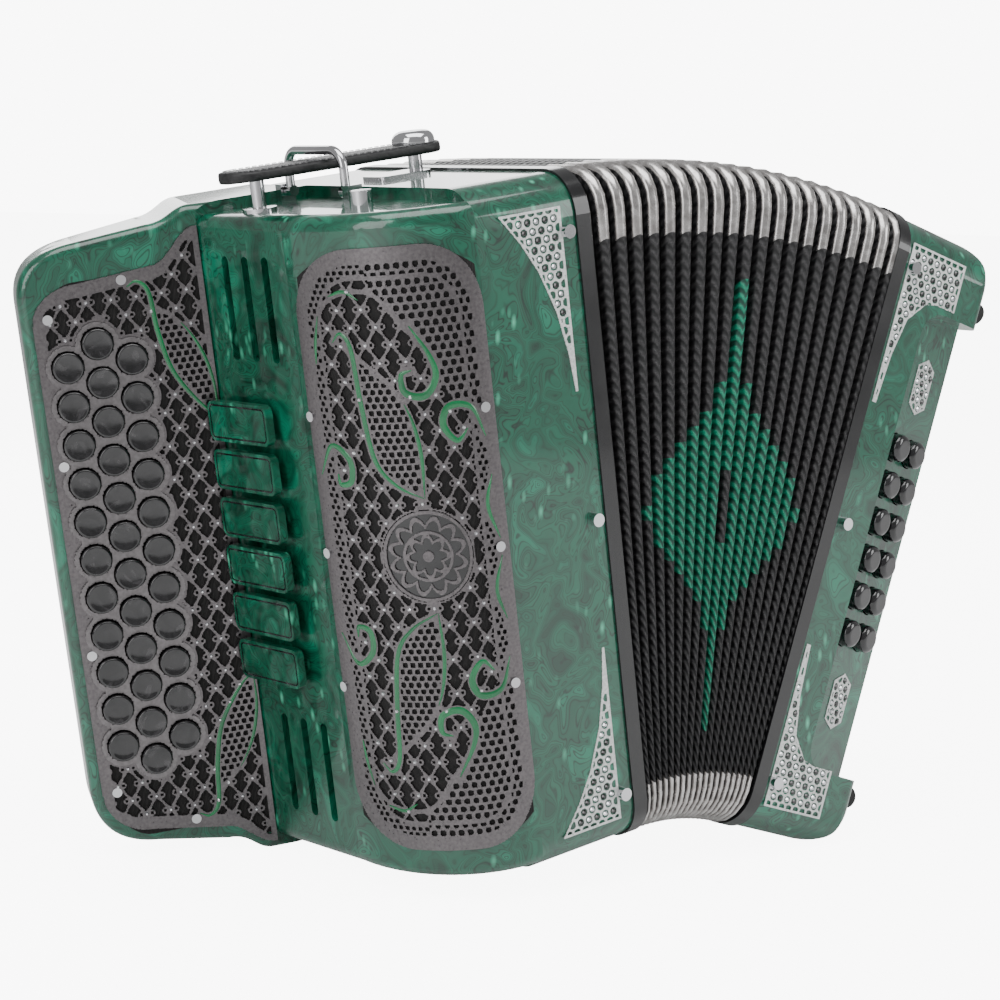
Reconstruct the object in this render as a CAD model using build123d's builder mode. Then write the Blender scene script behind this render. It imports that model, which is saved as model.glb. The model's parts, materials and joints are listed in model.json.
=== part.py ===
"""A diatonic button accordion, standing with its bellows fanned open.

Two casings are joined by bellows. Each casing is drawn upright in a frame of its own: x runs from the treble
side to the bass side, y from the audience to the player and z up, with x = 0 where the casing meets its
bellows frame. The treble casing leans one way and the bass casing the other, and each fold turns a little
about the bottom edge of the one before.
"""

from build123d import *
from math import atan2, cos, degrees, radians, sin, tan
import os

os.makedirs("parts", exist_ok=True)

# ---- Casings ----
casing_height = 325.0
casing_depth = 192.0
casing_base = 3.0
casing_corner = 20.0
wall = 7.0
treble_width = 56.0
bass_width = 66.0
soundboard = 8.0

# ---- Bellows ----
folds = 19
fold_thickness = 2.3
fold_gap = 0.83
fold_reach = 24.0
fold_margin = 0.8
frame_depth = 8.0
frame_margin = 1.2
treble_tilt = 9.55
bass_tilt = 17.2

# ---- Where the instrument stands: its middle over the origin, its lowest edge on the floor ----
middle_x = -4.93
middle_y = 96.0
floor_drop = 17.02

# ---- Grille cover ----
cover_height = 314.0
cover_wall = 4.0
cover_bulge = 57.0
cover_round = 72.0
cover_edge = 7.0
panel_lean = 5.5
panel_length = 66.5
grille_height = 284.0
grille_sheet = 1.2
grille_corner = 34.0
grille_rim = 14.0
vent_width = 5.0
vent_length = 50.0
vent_pitch = 15.7
vent_inset = 19.0
vent_middle = 113.0

# ---- Fingerboard and treble buttons ----
fingerboard_angle = 21.0
fingerboard_width = 88.5
fingerboard_edge = 5.0
fingerboard_setback = 0.3
fingerboard_corner = 30.0
plate_sheet = 1.5
plate_width = 83.0
plate_corner = 22.0
button_pitch = 18.8
column_pitch = 15.2
button_radius = 7.4
button_clearance = 0.5
button_height = 5.5
button_edge = 1.0
button_stem = 2.2
button_travel = 3.5
long_column = 12
short_column = 11
button_inset = 39.2
pocket_depth = 16.0
pocket_width = 52.0
pocket_height = 228.0
button_lift = 3.4
stem_length = 8.0

# ---- Register switches ----
registers = 6
register_pitch = 23.8
register_length = 47.0
register_height = 19.5
register_sheet = 4.0
register_lift = 4.5
register_setback = 1.0

# ---- Bass side ----
bass_corner = 22.0
bass_edge = 7.0
recess_height = 245.0
recess_start = 24.5
recess_step = 5.0
recess_angle = 14.0
recess_corner = 14.0
recess_drop = 2.5
housing = 4.0
panel_sheet = 3.0
bass_rows = 6
bass_pitch = 19.9
bass_column_pitch = 16.8
bass_button_inset = 9.6
bass_button_radius = 7.2
bass_button_height = 8.5
bass_button_stem = 2.5
bass_travel = 4.0
foot_radius = 6.0
foot_height = 11.0
foot_edge = 2.5
foot_drop = 1.5
foot_spread_y = 162.0
foot_spread_z = 266.0
air_button_radius = 8.0
air_button_height = 7.0
air_button_stem = 4.0
air_button_edge = 2.0
air_travel = 4.5
air_button_y = 42.0
air_button_z = 262.0
strap_width = 58.0
strap_thickness = 5.0
strap_bow = 34.0
strap_span = 240.0
strap_tab = 18.0
strap_y = 112.0
bass_block_depth = 28.0
bass_block_length = 228.0
bass_block_drop = 3.0

# ---- Closure strap, strap ring and screws ----
closure_length = 121.0
closure_width = 26.0
closure_thickness = 5.5
closure_lift = 9.5
closure_y = 105.5
ring_span = 49.0
ring_rise = 19.5
ring_wire = 2.2
ring_eye = 2.7
ring_pivot_height = 5.0
post_radius = 3.4
pin_radius = 3.2
screw_radius = 2.4
running_fit = 0.3
dome_x = -13.0
stud_x = -103.0
ring_x = -70.0
closure_end = 0.0
post_width = 5.0
ring_pin = 1.4
pin_fit = 0.06
pin_spread = 136.0
pin_inset = 6.0
pin_head = 3.5
screw_head = 1.0
thumb_screw = (-82.0, 50.0)
thumb_screw_radius = 5.0
thumb_screw_height = 8.0

casing_middle = casing_base + casing_height / 2
fold_pitch = fold_thickness + fold_gap
fold_angle = (treble_tilt + bass_tilt) / (folds + 1)
fold_height = casing_height + 2 * fold_margin
fold_depth = casing_depth + 2 * fold_margin
hinge_height = casing_base - fold_margin

facing_up = (0, 0, 0)
facing_front = (90, 0, 0)
facing_bass = (90, 90, 0)
facing_treble = (90, -90, 0)


def leaning(origin, angle):
    """An upright frame turned by an angle about Y, positive towards the bass side."""
    turn = radians(angle)
    return Plane(origin=origin, x_dir=(cos(turn), 0, -sin(turn)), z_dir=(sin(turn), 0, cos(turn)))


def on(frame, x, y, z, facing=facing_up):
    """A working plane at a point of a frame, facing the way given."""
    return Plane(frame.location * Location((x, y, z), facing))


treble = leaning((-middle_x, -middle_y, floor_drop), -treble_tilt)

fold_frames = []
hinge = treble.from_local_coords(Vector(frame_depth + fold_gap / 2, 0, hinge_height))
for number in range(folds + 1):
    fold_frames.append(leaning(hinge, fold_angle * (number + 1) - treble_tilt))
    hinge = fold_frames[-1].from_local_coords(Vector(fold_pitch, 0, 0))
bass = on(fold_frames[-1], fold_gap / 2 + frame_depth, 0, -hinge_height)


# ---- Treble casing: a wooden box, open to the bellows, with the pallet holes in its soundboard ----
pallet_rows = 3
pallet_count = 11
pallet_pitch = 24.0
pallet_hole = (16.0, 12.0)
block_pitch = 42.0
block_middle = 80.0
block_width = 26.0
block_length = 264.0
treble_block_depth = 40.0

with BuildPart() as treble_casing:
    with BuildSketch(on(treble, -treble_width, casing_depth / 2, casing_middle, facing_bass)):
        RectangleRounded(casing_depth, casing_height, casing_corner)
    extrude(amount=treble_width)
    with BuildSketch(on(treble, -treble_width + soundboard, casing_depth / 2, casing_middle, facing_bass)):
        RectangleRounded(casing_depth - 2 * wall, casing_height - 2 * wall, casing_corner - wall)
    extrude(amount=treble_width, mode=Mode.SUBTRACT)
    with BuildSketch(on(treble, -treble_width, block_middle, casing_middle, facing_bass)):
        with GridLocations(block_pitch, pallet_pitch, pallet_rows, pallet_count):
            Rectangle(*pallet_hole)
    extrude(amount=soundboard, mode=Mode.SUBTRACT)
treble_casing.part.label = "treble_casing"
export_step(treble_casing.part, "parts/treble_casing.step")

# ---- Treble reed blocks: three wooden blocks on the soundboard, each with its two rows of reed plates ----
reed_sheet = 2.0
reed_plate_height = 18.0
reed_plate_margin = 5.0

with BuildPart() as treble_reed_blocks:
    with BuildSketch(on(treble, -treble_width + soundboard, block_middle, casing_middle, facing_bass)):
        with GridLocations(block_pitch, 1, pallet_rows, 1):
            Rectangle(block_width, block_length)
    extrude(amount=treble_block_depth)
    plates_x = -treble_width + soundboard + treble_block_depth / 2
    for row in range(pallet_rows):
        block_y = block_middle + (row - (pallet_rows - 1) / 2) * block_pitch
        with BuildSketch(on(treble, plates_x, block_y - block_width / 2, casing_middle, facing_front)):
            with GridLocations(1, pallet_pitch, 1, pallet_count):
                Rectangle(treble_block_depth - 2 * reed_plate_margin, reed_plate_height)
        extrude(amount=reed_sheet)
        with BuildSketch(on(treble, plates_x, block_y + block_width / 2 + reed_sheet, casing_middle, facing_front)):
            with GridLocations(1, pallet_pitch, 1, pallet_count):
                Rectangle(treble_block_depth - 2 * reed_plate_margin, reed_plate_height)
        extrude(amount=reed_sheet)
treble_reed_blocks.part.label = "treble_reed_blocks"
export_step(treble_reed_blocks.part, "parts/treble_reed_blocks.step")

# ---- Treble pallets: felted wooden pads that close the soundboard holes ----
pallet_thickness = 5.0
pallet_overlap = 2.5

with BuildPart() as treble_pallets:
    with BuildSketch(on(treble, -treble_width, block_middle, casing_middle, facing_treble)):
        with GridLocations(block_pitch, pallet_pitch, pallet_rows, pallet_count):
            Rectangle(pallet_hole[0] + 2 * pallet_overlap, pallet_hole[1] + 2 * pallet_overlap)
    extrude(amount=pallet_thickness)
treble_pallets.part.label = "treble_pallets"
export_step(treble_pallets.part, "parts/treble_pallets.step")

# ---- Grille cover: the curved front shell over the pallets, with its flat register panel at the back ----
cover_base = casing_middle - cover_height / 2
panel_x = -treble_width - cover_bulge
panel_end_x = panel_x - panel_length * sin(radians(panel_lean))
panel_end_y = cover_round + panel_length * cos(radians(panel_lean))


def cover_outline(growth):
    """The cover's plan: a quarter of an ellipse at the front, then the register panel, grown by an amount."""
    with BuildSketch() as outline:
        with BuildLine():
            front = EllipticalCenterArc(
                (-treble_width, cover_round), cover_bulge + growth, cover_round + growth, 180, arc_size=90
            )
            side = Line(front @ 0, (panel_end_x - growth, panel_end_y))
            back = Line(side @ 1, (-treble_width, panel_end_y))
            Line(back @ 1, front @ 1)
        make_face()
    return outline.sketch


grille_facing = 38.0
grille_width = 84.0
grille_face = on(treble, -treble_width - cover_bulge / 2, cover_round / 2, casing_middle, (90, -grille_facing, 0))
register_panel = on(treble, panel_end_x, panel_end_y, casing_middle, (90, panel_lean - 90, 0))
slot_height = register_height + 1.0
slot_length = 22.0
slot_middle = 30.4

with BuildPart() as grille_cover:
    with BuildSketch(on(treble, 0, 0, cover_base)):
        add(cover_outline(0))
    extrude(amount=cover_height)
    for end in (-1, 0):
        rim = grille_cover.faces().sort_by(Axis.Z)[end].outer_wire().edges().sort_by(Axis.X)
        fillet(rim[:2], cover_edge)
    with BuildSketch(on(treble, 0, 0, cover_base + cover_wall)):
        add(cover_outline(-cover_wall))
    extrude(amount=cover_height - 2 * cover_wall, mode=Mode.SUBTRACT)
    with BuildSketch(grille_face):
        RectangleRounded(grille_width - 2 * grille_rim, grille_height - 2 * grille_rim, grille_corner - grille_rim)
    extrude(amount=cover_bulge, both=True, mode=Mode.SUBTRACT)
    with BuildSketch(register_panel):
        with Locations((slot_middle, 0)):
            with GridLocations(1, register_pitch, 1, registers):
                Rectangle(slot_length, slot_height - 6)
        for end in (-1, 1):
            with Locations((vent_inset + vent_pitch, end * vent_middle)):
                with GridLocations(vent_pitch, 1, 3, 1):
                    SlotOverall(vent_length, vent_width, rotation=90)
    extrude(amount=-2 * cover_wall, mode=Mode.SUBTRACT)
grille_cover.part.label = "grille_cover"
export_step(grille_cover.part, "parts/grille_cover.step")

with BuildPart() as grille_plate:
    with BuildSketch(on(treble, 0, 0, cover_base)):
        add(cover_outline(grille_sheet))
        with BuildLine():
            inner = EllipticalCenterArc((-treble_width, cover_round), cover_bulge, cover_round, 180, arc_size=90)
            beyond_x = panel_end_x - cover_wall
            Polyline(inner @ 1, (-treble_width, -cover_wall), (beyond_x, -cover_wall), (beyond_x, cover_round),
                     inner @ 0)
        make_face(mode=Mode.INTERSECT)
    extrude(amount=cover_height)
    with BuildSketch(grille_face):
        RectangleRounded(grille_width, grille_height, grille_corner)
    extrude(amount=cover_bulge, both=True, mode=Mode.INTERSECT)
grille_plate.part.label = "grille_plate"
export_step(grille_plate.part, "parts/grille_plate.step")

# ---- Fingerboard: the wooden wing behind the register panel, set back and turned to face the fingers ----
fingerboard_y = panel_end_y + fingerboard_setback
fingerboard = on(treble, panel_end_x, fingerboard_y, casing_middle, (90, -fingerboard_angle, 0))
inner_end = -treble_width - panel_end_x
outer_x = panel_end_x - fingerboard_width * cos(radians(fingerboard_angle))
outer_y = fingerboard_y + fingerboard_width * sin(radians(fingerboard_angle))
half_height = casing_height / 2


def wing_outline(width, corner, top, top_step, bottom, bottom_step, inner):
    """The wing seen from the front: full height at the cover, an S step, then a lower rounded end."""
    with BuildSketch() as outline:
        with BuildLine():
            head = Line((inner, top), (-2, top))
            head_s = Spline(head @ 1, (-12, (top + top_step) / 2), (-24, top_step), tangents=((-1, 0), (-1, 0)))
            upper = Line(head_s @ 1, (-width + corner, top_step - 4))
            shoulder = Spline(upper @ 1, (-width, top_step - corner), tangents=((-1, -0.1), (0, -1)))
            side = Line(shoulder @ 1, (-width, bottom_step + corner * 1.3))
            hip = Spline(side @ 1, (-width + corner, bottom_step + 6), tangents=((0, -1), (1, -0.1)))
            lower = Line(hip @ 1, (-24, bottom_step))
            foot_s = Spline(lower @ 1, (-12, (bottom + bottom_step) / 2), (-2, bottom), tangents=((1, 0), (1, 0)))
            base = Line(foot_s @ 1, (inner, bottom))
            Line(base @ 1, head @ 0)
        make_face()
    return outline.sketch


plate_front = fingerboard.offset(plate_sheet)
button_columns = ((-button_inset, short_column), (-button_inset - column_pitch, long_column),
                  (-button_inset - 2 * column_pitch, short_column))


def button_circles(columns, radius):
    """One circle for each button in the columns given."""
    with BuildSketch() as circles:
        for x, count in columns:
            with Locations((x, 0)):
                with GridLocations(1, button_pitch, 1, count):
                    Circle(radius)
    return circles.sketch


with BuildPart() as fingerboard_body:
    with BuildSketch(fingerboard):
        add(wing_outline(fingerboard_width, fingerboard_corner, half_height, half_height - 7,
                         -half_height, -half_height + 9, inner_end * 1.4))
    extrude(amount=-2 * casing_depth)
    front = fingerboard_body.faces().sort_by(Axis.Y)[0]
    fillet(front.outer_wire().edges().sort_by(Axis.X)[:-1], fingerboard_edge)
    with BuildSketch(on(treble, 0, 0, 0)):
        with BuildLine():
            Polyline(
                (-treble_width, fingerboard_y), (panel_end_x, fingerboard_y), (outer_x - 5, outer_y + 2),
                (outer_x - 5, casing_depth), (-treble_width, casing_depth), close=True,
            )
        make_face()
    extrude(amount=casing_height * 1.1, mode=Mode.INTERSECT)
    with BuildSketch(fingerboard):
        with Locations((-button_inset - column_pitch, 0)):
            RectangleRounded(pocket_width, pocket_height, button_radius)
    extrude(amount=-pocket_depth, mode=Mode.SUBTRACT)
fingerboard_body.part.label = "fingerboard"
export_step(fingerboard_body.part, "parts/fingerboard.step")

# ---- Button plate: a pierced metal sheet on the wing with a scalloped surround that stands round the caps ----
surround_radius = 10.0
surround_sheet = 1.2
plate_top = half_height - 26.0
plate_bottom = -half_height + 17.0

with BuildPart() as button_plate:
    with BuildSketch(fingerboard):
        add(wing_outline(plate_width, plate_corner, plate_top + 16, plate_top,
                         plate_bottom - 12, plate_bottom, -running_fit))
    extrude(amount=plate_sheet)
    with BuildSketch(plate_front):
        add(button_circles(button_columns, surround_radius))
        with Locations((-button_inset - column_pitch, 0)):
            Rectangle(2 * column_pitch, button_pitch * (short_column - 0.4))
    extrude(amount=surround_sheet)
    with BuildSketch(fingerboard):
        add(button_circles(button_columns, button_radius + button_clearance))
    extrude(amount=plate_sheet + surround_sheet, mode=Mode.SUBTRACT)
button_plate.part.label = "button_plate"
export_step(button_plate.part, "parts/button_plate.step")

# ---- Treble buttons: dished caps on stems, one node for each column ----
cap_front = plate_front.offset(surround_sheet + button_lift)

for name, column in zip(("inner", "middle", "outer"), button_columns):
    with BuildPart() as buttons:
        with BuildSketch(cap_front):
            add(button_circles((column,), button_radius))
        extrude(amount=-button_height)
        rims = buttons.edges().filter_by(GeomType.CIRCLE).sort_by(Axis(cap_front.origin, cap_front.z_dir))
        fillet(rims[-column[1]:], button_edge)
        with BuildSketch(cap_front.offset(-button_height)):
            add(button_circles((column,), button_stem))
        extrude(amount=-stem_length)
    buttons.part.label = f"treble_buttons_{name}"
    export_step(buttons.part, f"parts/treble_buttons_{name}.step")

# ---- Register switches: paddles that stand off the panel, each on a lever that goes in through its slot ----
paddle = register_panel.offset(register_lift)
register_middle = register_setback + register_length / 2
lever_size = (14.0, 10.0)
lever_length = 14.0

for number in range(registers):
    height = (number - (registers - 1) / 2) * register_pitch
    with BuildPart() as register_switch:
        with BuildSketch(paddle):
            with Locations((register_middle, -height)):
                RectangleRounded(register_length, register_height, 4)
        extrude(amount=register_sheet)
        with BuildSketch(paddle):
            with Locations((slot_middle, -height)):
                Rectangle(*lever_size)
        extrude(amount=-lever_length)
    register_switch.part.label = f"register_switch_{number + 1}"
    export_step(register_switch.part, f"parts/register_switch_{number + 1}.step")

# ---- Bellows: a frame on each casing and a stiff ring for each fold between them ----
fold_inner = (fold_depth - 2 * fold_reach, fold_height - 2 * fold_reach)


def bellows_frame(plane):
    """A flat wooden frame, as large as the casing and a little more, round the casing's opening."""
    with BuildPart() as frame:
        with BuildSketch(plane):
            RectangleRounded(casing_depth + 2 * frame_margin, casing_height + 2 * frame_margin,
                             casing_corner + frame_margin)
            RectangleRounded(casing_depth - 2 * wall, casing_height - 2 * wall, casing_corner - wall,
                             mode=Mode.SUBTRACT)
        extrude(amount=frame_depth)
    return frame.part


with BuildPart() as treble_bellows_frame:
    add(bellows_frame(on(treble, 0, casing_depth / 2, casing_middle, facing_bass)))
treble_bellows_frame.part.label = "treble_bellows_frame"
export_step(treble_bellows_frame.part, "parts/treble_bellows_frame.step")

with BuildPart() as bass_bellows_frame:
    add(bellows_frame(on(bass, -frame_depth, casing_depth / 2, casing_middle, facing_bass)))
bass_bellows_frame.part.label = "bass_bellows_frame"
export_step(bass_bellows_frame.part, "parts/bass_bellows_frame.step")

for number in range(folds):
    with BuildPart() as fold:
        ring = on(fold_frames[number], fold_gap / 2, casing_depth / 2, fold_height / 2, facing_bass)
        with BuildSketch(ring):
            RectangleRounded(fold_depth, fold_height, casing_corner + fold_margin)
            RectangleRounded(*fold_inner, casing_corner / 2, mode=Mode.SUBTRACT)
        extrude(amount=fold_thickness)
    fold.part.label = f"bellows_fold_{number + 1:02d}"
    export_step(fold.part, f"parts/bellows_fold_{number + 1:02d}.step")

# ---- Bass casing: a box with two rounded ears at the front and a slanted recess for the buttons between ----
recess_middle = casing_middle - recess_drop
recess_base = recess_middle - recess_height / 2
recess_slope = tan(radians(recess_angle))
recess_end = recess_step + (bass_width - recess_start) * recess_slope
panel_back = panel_sheet / cos(radians(recess_angle))


def recess_slab(front, back, reach):
    """The recess's rounded outline, from the front to the back of a slice that follows its slanted floor."""
    with BuildPart() as slab:
        with BuildSketch(on(bass, recess_start, -bass_width, recess_middle, facing_front)):
            with Locations((reach / 2 + recess_corner, 0)):
                RectangleRounded(reach + 2 * recess_corner, recess_height, recess_corner)
        extrude(amount=-3 * bass_width)
        with BuildSketch(on(bass, recess_start, 0, recess_base)):
            with BuildLine():
                rise = reach * recess_slope
                Polyline((0, front), (0, back), (reach, back + rise), (reach, front + rise), close=True)
            make_face()
        extrude(amount=recess_height, mode=Mode.INTERSECT)
    return slab.part


with BuildPart() as bass_casing:
    with BuildSketch(on(bass, 0, 0, casing_middle, facing_front)):
        RectangleRounded(2 * bass_width, casing_height, bass_corner)
    extrude(amount=-casing_depth)
    fillet(bass_casing.faces().filter_by(Axis.Y).edges(), bass_edge)
    with BuildSketch(on(bass, 0, casing_depth / 2, casing_middle, facing_bass)):
        RectangleRounded(casing_depth, casing_height, casing_corner)
    extrude(amount=bass_width, mode=Mode.INTERSECT)
    with BuildSketch(on(bass, 0, casing_depth / 2, casing_middle, facing_bass)):
        RectangleRounded(casing_depth - 2 * wall, casing_height - 2 * wall, casing_corner - wall)
    extrude(amount=bass_width - wall, mode=Mode.SUBTRACT)
    with BuildSketch(on(bass, 0, 0, recess_base - housing)):
        with BuildLine():
            Polyline(
                (recess_start - housing, wall / 2), (bass_width - wall / 2, wall / 2),
                (bass_width - wall / 2, recess_end + panel_back + housing),
                (recess_start - housing, recess_step + panel_back + housing), close=True,
            )
        make_face()
    extrude(amount=recess_height + 2 * housing)
    add(recess_slab(-bass_width, recess_step + panel_back, 2 * bass_width), mode=Mode.SUBTRACT)
    with BuildSketch(on(bass, 0, 0, recess_base + recess_corner)):
        with BuildLine():
            Polyline(
                (recess_start, wall), (bass_width - wall, wall),
                (bass_width - wall, recess_end + panel_back + 2 * housing),
                (recess_start, recess_step + panel_back + 2 * housing), close=True,
            )
        make_face()
    extrude(amount=recess_height - 2 * recess_corner, mode=Mode.SUBTRACT)
    with BuildSketch(on(bass, bass_width, air_button_y, air_button_z, facing_bass)):
        Circle(air_button_radius + button_clearance)
    extrude(amount=-wall, mode=Mode.SUBTRACT)
bass_casing.part.label = "bass_casing"
export_step(bass_casing.part, "parts/bass_casing.step")

# ---- Bass button panel: the slanted sheet that closes the recess, with a hole for each button ----
bass_panel = on(bass, recess_start, recess_step, recess_middle, (90, recess_angle, 0))
column_middle = bass_button_inset + bass_column_pitch / 2

with BuildPart() as bass_button_panel:
    add(recess_slab(recess_step, recess_step + panel_back, bass_width - recess_start))
    with BuildSketch(bass_panel):
        with Locations((column_middle, 0)):
            with GridLocations(bass_column_pitch, bass_pitch, 2, bass_rows):
                Circle(bass_button_radius + button_clearance)
    extrude(amount=-2 * panel_sheet, mode=Mode.SUBTRACT)
bass_button_panel.part.label = "bass_button_panel"
export_step(bass_button_panel.part, "parts/bass_button_panel.step")

# ---- Bass buttons: thick domed caps on stems ----
dome = 3.0

for row in range(bass_rows):
    for column in range(2):
        x = bass_button_inset + column * bass_column_pitch
        y = (row - (bass_rows - 1) / 2) * bass_pitch
        with BuildPart() as bass_button:
            with BuildSketch(bass_panel.offset(-panel_sheet / 2)):
                with Locations((x, y)):
                    Circle(bass_button_radius)
            extrude(amount=bass_button_height)
            fillet(bass_button.edges().sort_by(Axis(bass_panel.origin, bass_panel.z_dir))[-1], dome)
            with BuildSketch(bass_panel.offset(-panel_sheet / 2)):
                with Locations((x, y)):
                    Circle(bass_button_stem)
            extrude(amount=-stem_length)
        bass_button.part.label = f"bass_button_{2 * row + column + 1:02d}"
        export_step(bass_button.part, f"parts/bass_button_{2 * row + column + 1:02d}.step")

# ---- Air button: lets the bellows move in silence, under the left thumb ----
with BuildPart() as air_button:
    with BuildSketch(on(bass, bass_width - wall - air_button_stem, air_button_y, air_button_z, facing_bass)):
        Circle(air_button_radius)
    extrude(amount=wall + air_button_stem + air_button_height)
    fillet(air_button.edges().sort_by(Axis(bass.origin, bass.x_dir))[-1], air_button_edge)
air_button.part.label = "air_button"
export_step(air_button.part, "parts/air_button.step")

# ---- Bass reed blocks: a soundboard in the casing's mouth, with two blocks standing into the bellows ----
with BuildPart() as bass_reed_blocks:
    with BuildSketch(on(bass, 0, casing_depth / 2, casing_middle, facing_bass)):
        RectangleRounded(casing_depth - 2 * wall, casing_height - 2 * wall, casing_corner - wall)
    extrude(amount=wall)
    with BuildSketch(on(bass, 0, casing_depth / 2, casing_middle - bass_block_drop, facing_bass)):
        with GridLocations(block_pitch, 1, 2, 1):
            Rectangle(block_width, bass_block_length)
    extrude(amount=-bass_block_depth)
bass_reed_blocks.part.label = "bass_reed_blocks"
export_step(bass_reed_blocks.part, "parts/bass_reed_blocks.step")

# ---- Rubber feet on the bass end, to stand the closed instrument on ----
foot_end = bass_width + foot_height

with BuildPart() as rubber_feet:
    with BuildSketch(on(bass, bass_width, casing_depth / 2, casing_middle - foot_drop, facing_bass)):
        with GridLocations(foot_spread_y, foot_spread_z, 2, 2):
            Circle(foot_radius)
    extrude(amount=foot_height)
    fillet(rubber_feet.faces().filter_by(Axis(bass.origin, bass.x_dir)).group_by(
        Axis(bass.origin, bass.x_dir))[-1].edges(), foot_edge)
rubber_feet.part.label = "rubber_feet"
export_step(rubber_feet.part, "parts/rubber_feet.step")

# ---- Hand strap: a leather band that bows out from the bass end, with a flat tab at each end ----
strap_half = strap_span / 2
bow = bass_width + strap_bow

with BuildPart() as hand_strap:
    with BuildSketch(on(bass, 0, strap_y - strap_width / 2, casing_middle, facing_front)):
        with BuildLine():
            tab_1 = Line((bass_width, -strap_half), (bass_width + strap_thickness, -strap_half))
            edge_1 = Line(tab_1 @ 1, (bass_width + strap_thickness, -strap_half + strap_tab))
            outer = Spline(edge_1 @ 1, (bow, 0), (bass_width + strap_thickness, strap_half - strap_tab),
                           tangents=((0.5, 1), (-0.5, 1)))
            edge_2 = Line(outer @ 1, (bass_width + strap_thickness, strap_half))
            tab_2 = Line(edge_2 @ 1, (bass_width, strap_half))
            under_2 = Line(tab_2 @ 1, (bass_width, strap_half - strap_tab))
            inner = Spline(under_2 @ 1, (bow - strap_thickness, 0), (bass_width, -strap_half + strap_tab),
                           tangents=((0.5, -1), (-0.5, -1)))
            Line(inner @ 1, tab_1 @ 0)
        make_face()
    extrude(amount=-strap_width)
hand_strap.part.label = "hand_strap"
export_step(hand_strap.part, "parts/hand_strap.step")

# ---- Closure strap: stitched leather, laid back over the treble casing with its tip on a stud ----
casing_top = casing_base + casing_height
cover_top = cover_base + cover_height
strap_under = casing_top + closure_lift

with BuildPart() as closure_strap:
    with BuildSketch(on(treble, closure_end - closure_length / 2, closure_y, strap_under)):
        RectangleRounded(closure_length, closure_width, closure_width / 2 - 1)
    extrude(amount=closure_thickness)
    with BuildSketch(on(treble, dome_x, closure_y, strap_under)):
        Circle(post_radius)
    extrude(amount=closure_thickness, mode=Mode.SUBTRACT)
closure_strap.part.label = "closure_strap"
export_step(closure_strap.part, "parts/closure_strap.step")

# ---- Strap fittings: the strap's bracket and dome, the stud under its tip and the posts of the strap ring ----
dome_radius = 10.5
dome_height = 6.0
bracket_sheet = 2.0
bracket_length = 30.0
bracket_width = 20.0
stud_radius = 8.0
ring_axis = cover_top + ring_pivot_height

with BuildPart() as strap_fittings:
    with BuildSketch(on(treble, dome_x - bracket_length / 2 + post_radius, closure_y, casing_top)):
        RectangleRounded(bracket_length, bracket_width, 4)
    extrude(amount=bracket_sheet)
    with BuildSketch(on(treble, dome_x, closure_y, casing_top)):
        Circle(post_radius)
    extrude(amount=closure_lift + closure_thickness)
    with BuildSketch(on(treble, dome_x, closure_y, strap_under + closure_thickness)):
        Circle(dome_radius)
    extrude(amount=dome_height)
    fillet(strap_fittings.edges().sort_by(Axis(treble.origin, treble.z_dir))[-1], dome_height - 1)
    with BuildSketch(on(treble, stud_x, closure_y, cover_top)):
        Circle(stud_radius)
    extrude(amount=bracket_sheet)
    with BuildSketch(on(treble, stud_x, closure_y, cover_top)):
        Circle(post_radius)
    extrude(amount=strap_under - cover_top)
    for side in (-1, 1):
        post_y = closure_y + side * (ring_span / 2 + ring_eye + running_fit + post_width / 2)
        with BuildSketch(on(treble, ring_x, post_y, cover_top)):
            Rectangle(post_width * 1.6, post_width)
        extrude(amount=ring_pivot_height + post_radius)
        with BuildSketch(on(treble, ring_x, post_y, ring_axis, facing_front)):
            Circle(ring_pin + pin_fit)
        extrude(amount=post_width, both=True, mode=Mode.SUBTRACT)
strap_fittings.part.label = "strap_fittings"
export_step(strap_fittings.part, "parts/strap_fittings.step")

# ---- Strap ring: a wire bail over the closure strap, that swings on two pins in its posts ----
ring_half = ring_span / 2
ring_corner = 9.0

with BuildPart() as strap_ring:
    with BuildLine(on(treble, ring_x, closure_y, ring_axis, facing_bass)):
        FilletPolyline((-ring_half, 0), (-ring_half, ring_rise), (ring_half, ring_rise), (ring_half, 0),
                       radius=ring_corner)
    with BuildSketch(on(treble, ring_x, closure_y - ring_half, ring_axis)):
        Circle(ring_wire)
    sweep()
    for side in (-1, 1):
        with BuildSketch(on(treble, ring_x, closure_y + side * ring_half, ring_axis, facing_front)):
            Circle(ring_pin)
        extrude(amount=-side * (ring_eye + running_fit + post_width * 0.8))
        with BuildSketch(on(treble, ring_x, closure_y + side * ring_half, ring_axis, facing_front)):
            Circle(ring_eye)
        extrude(amount=ring_eye, both=True)
strap_ring.part.label = "strap_ring"
export_step(strap_ring.part, "parts/strap_ring.step")


def at_pins(frame, x, face):
    """Working planes for the bellows pins along the front or back face of a casing."""
    y = 0 if face == facing_front else casing_depth
    return [on(frame, x, y, casing_middle + row * pin_spread, face) for row in (-1, 0, 1)]


def on_grille(angle):
    """A working plane that rests on the grille plate, at an angle round the cover from its treble side."""
    across, along = cover_bulge + grille_sheet, cover_round + grille_sheet
    turn = radians(angle)
    facing = degrees(atan2(-cos(turn) / across, sin(turn) / along))
    x, y = -treble_width - across * cos(turn), cover_round - along * sin(turn)
    return on(treble, x, y, casing_middle, (90, facing, 0))


facing_back = (-90, 0, 180)
screw_margin = 4.8
grille_screw_angle = 6.0
grille_screw_pitch = 65.0

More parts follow.
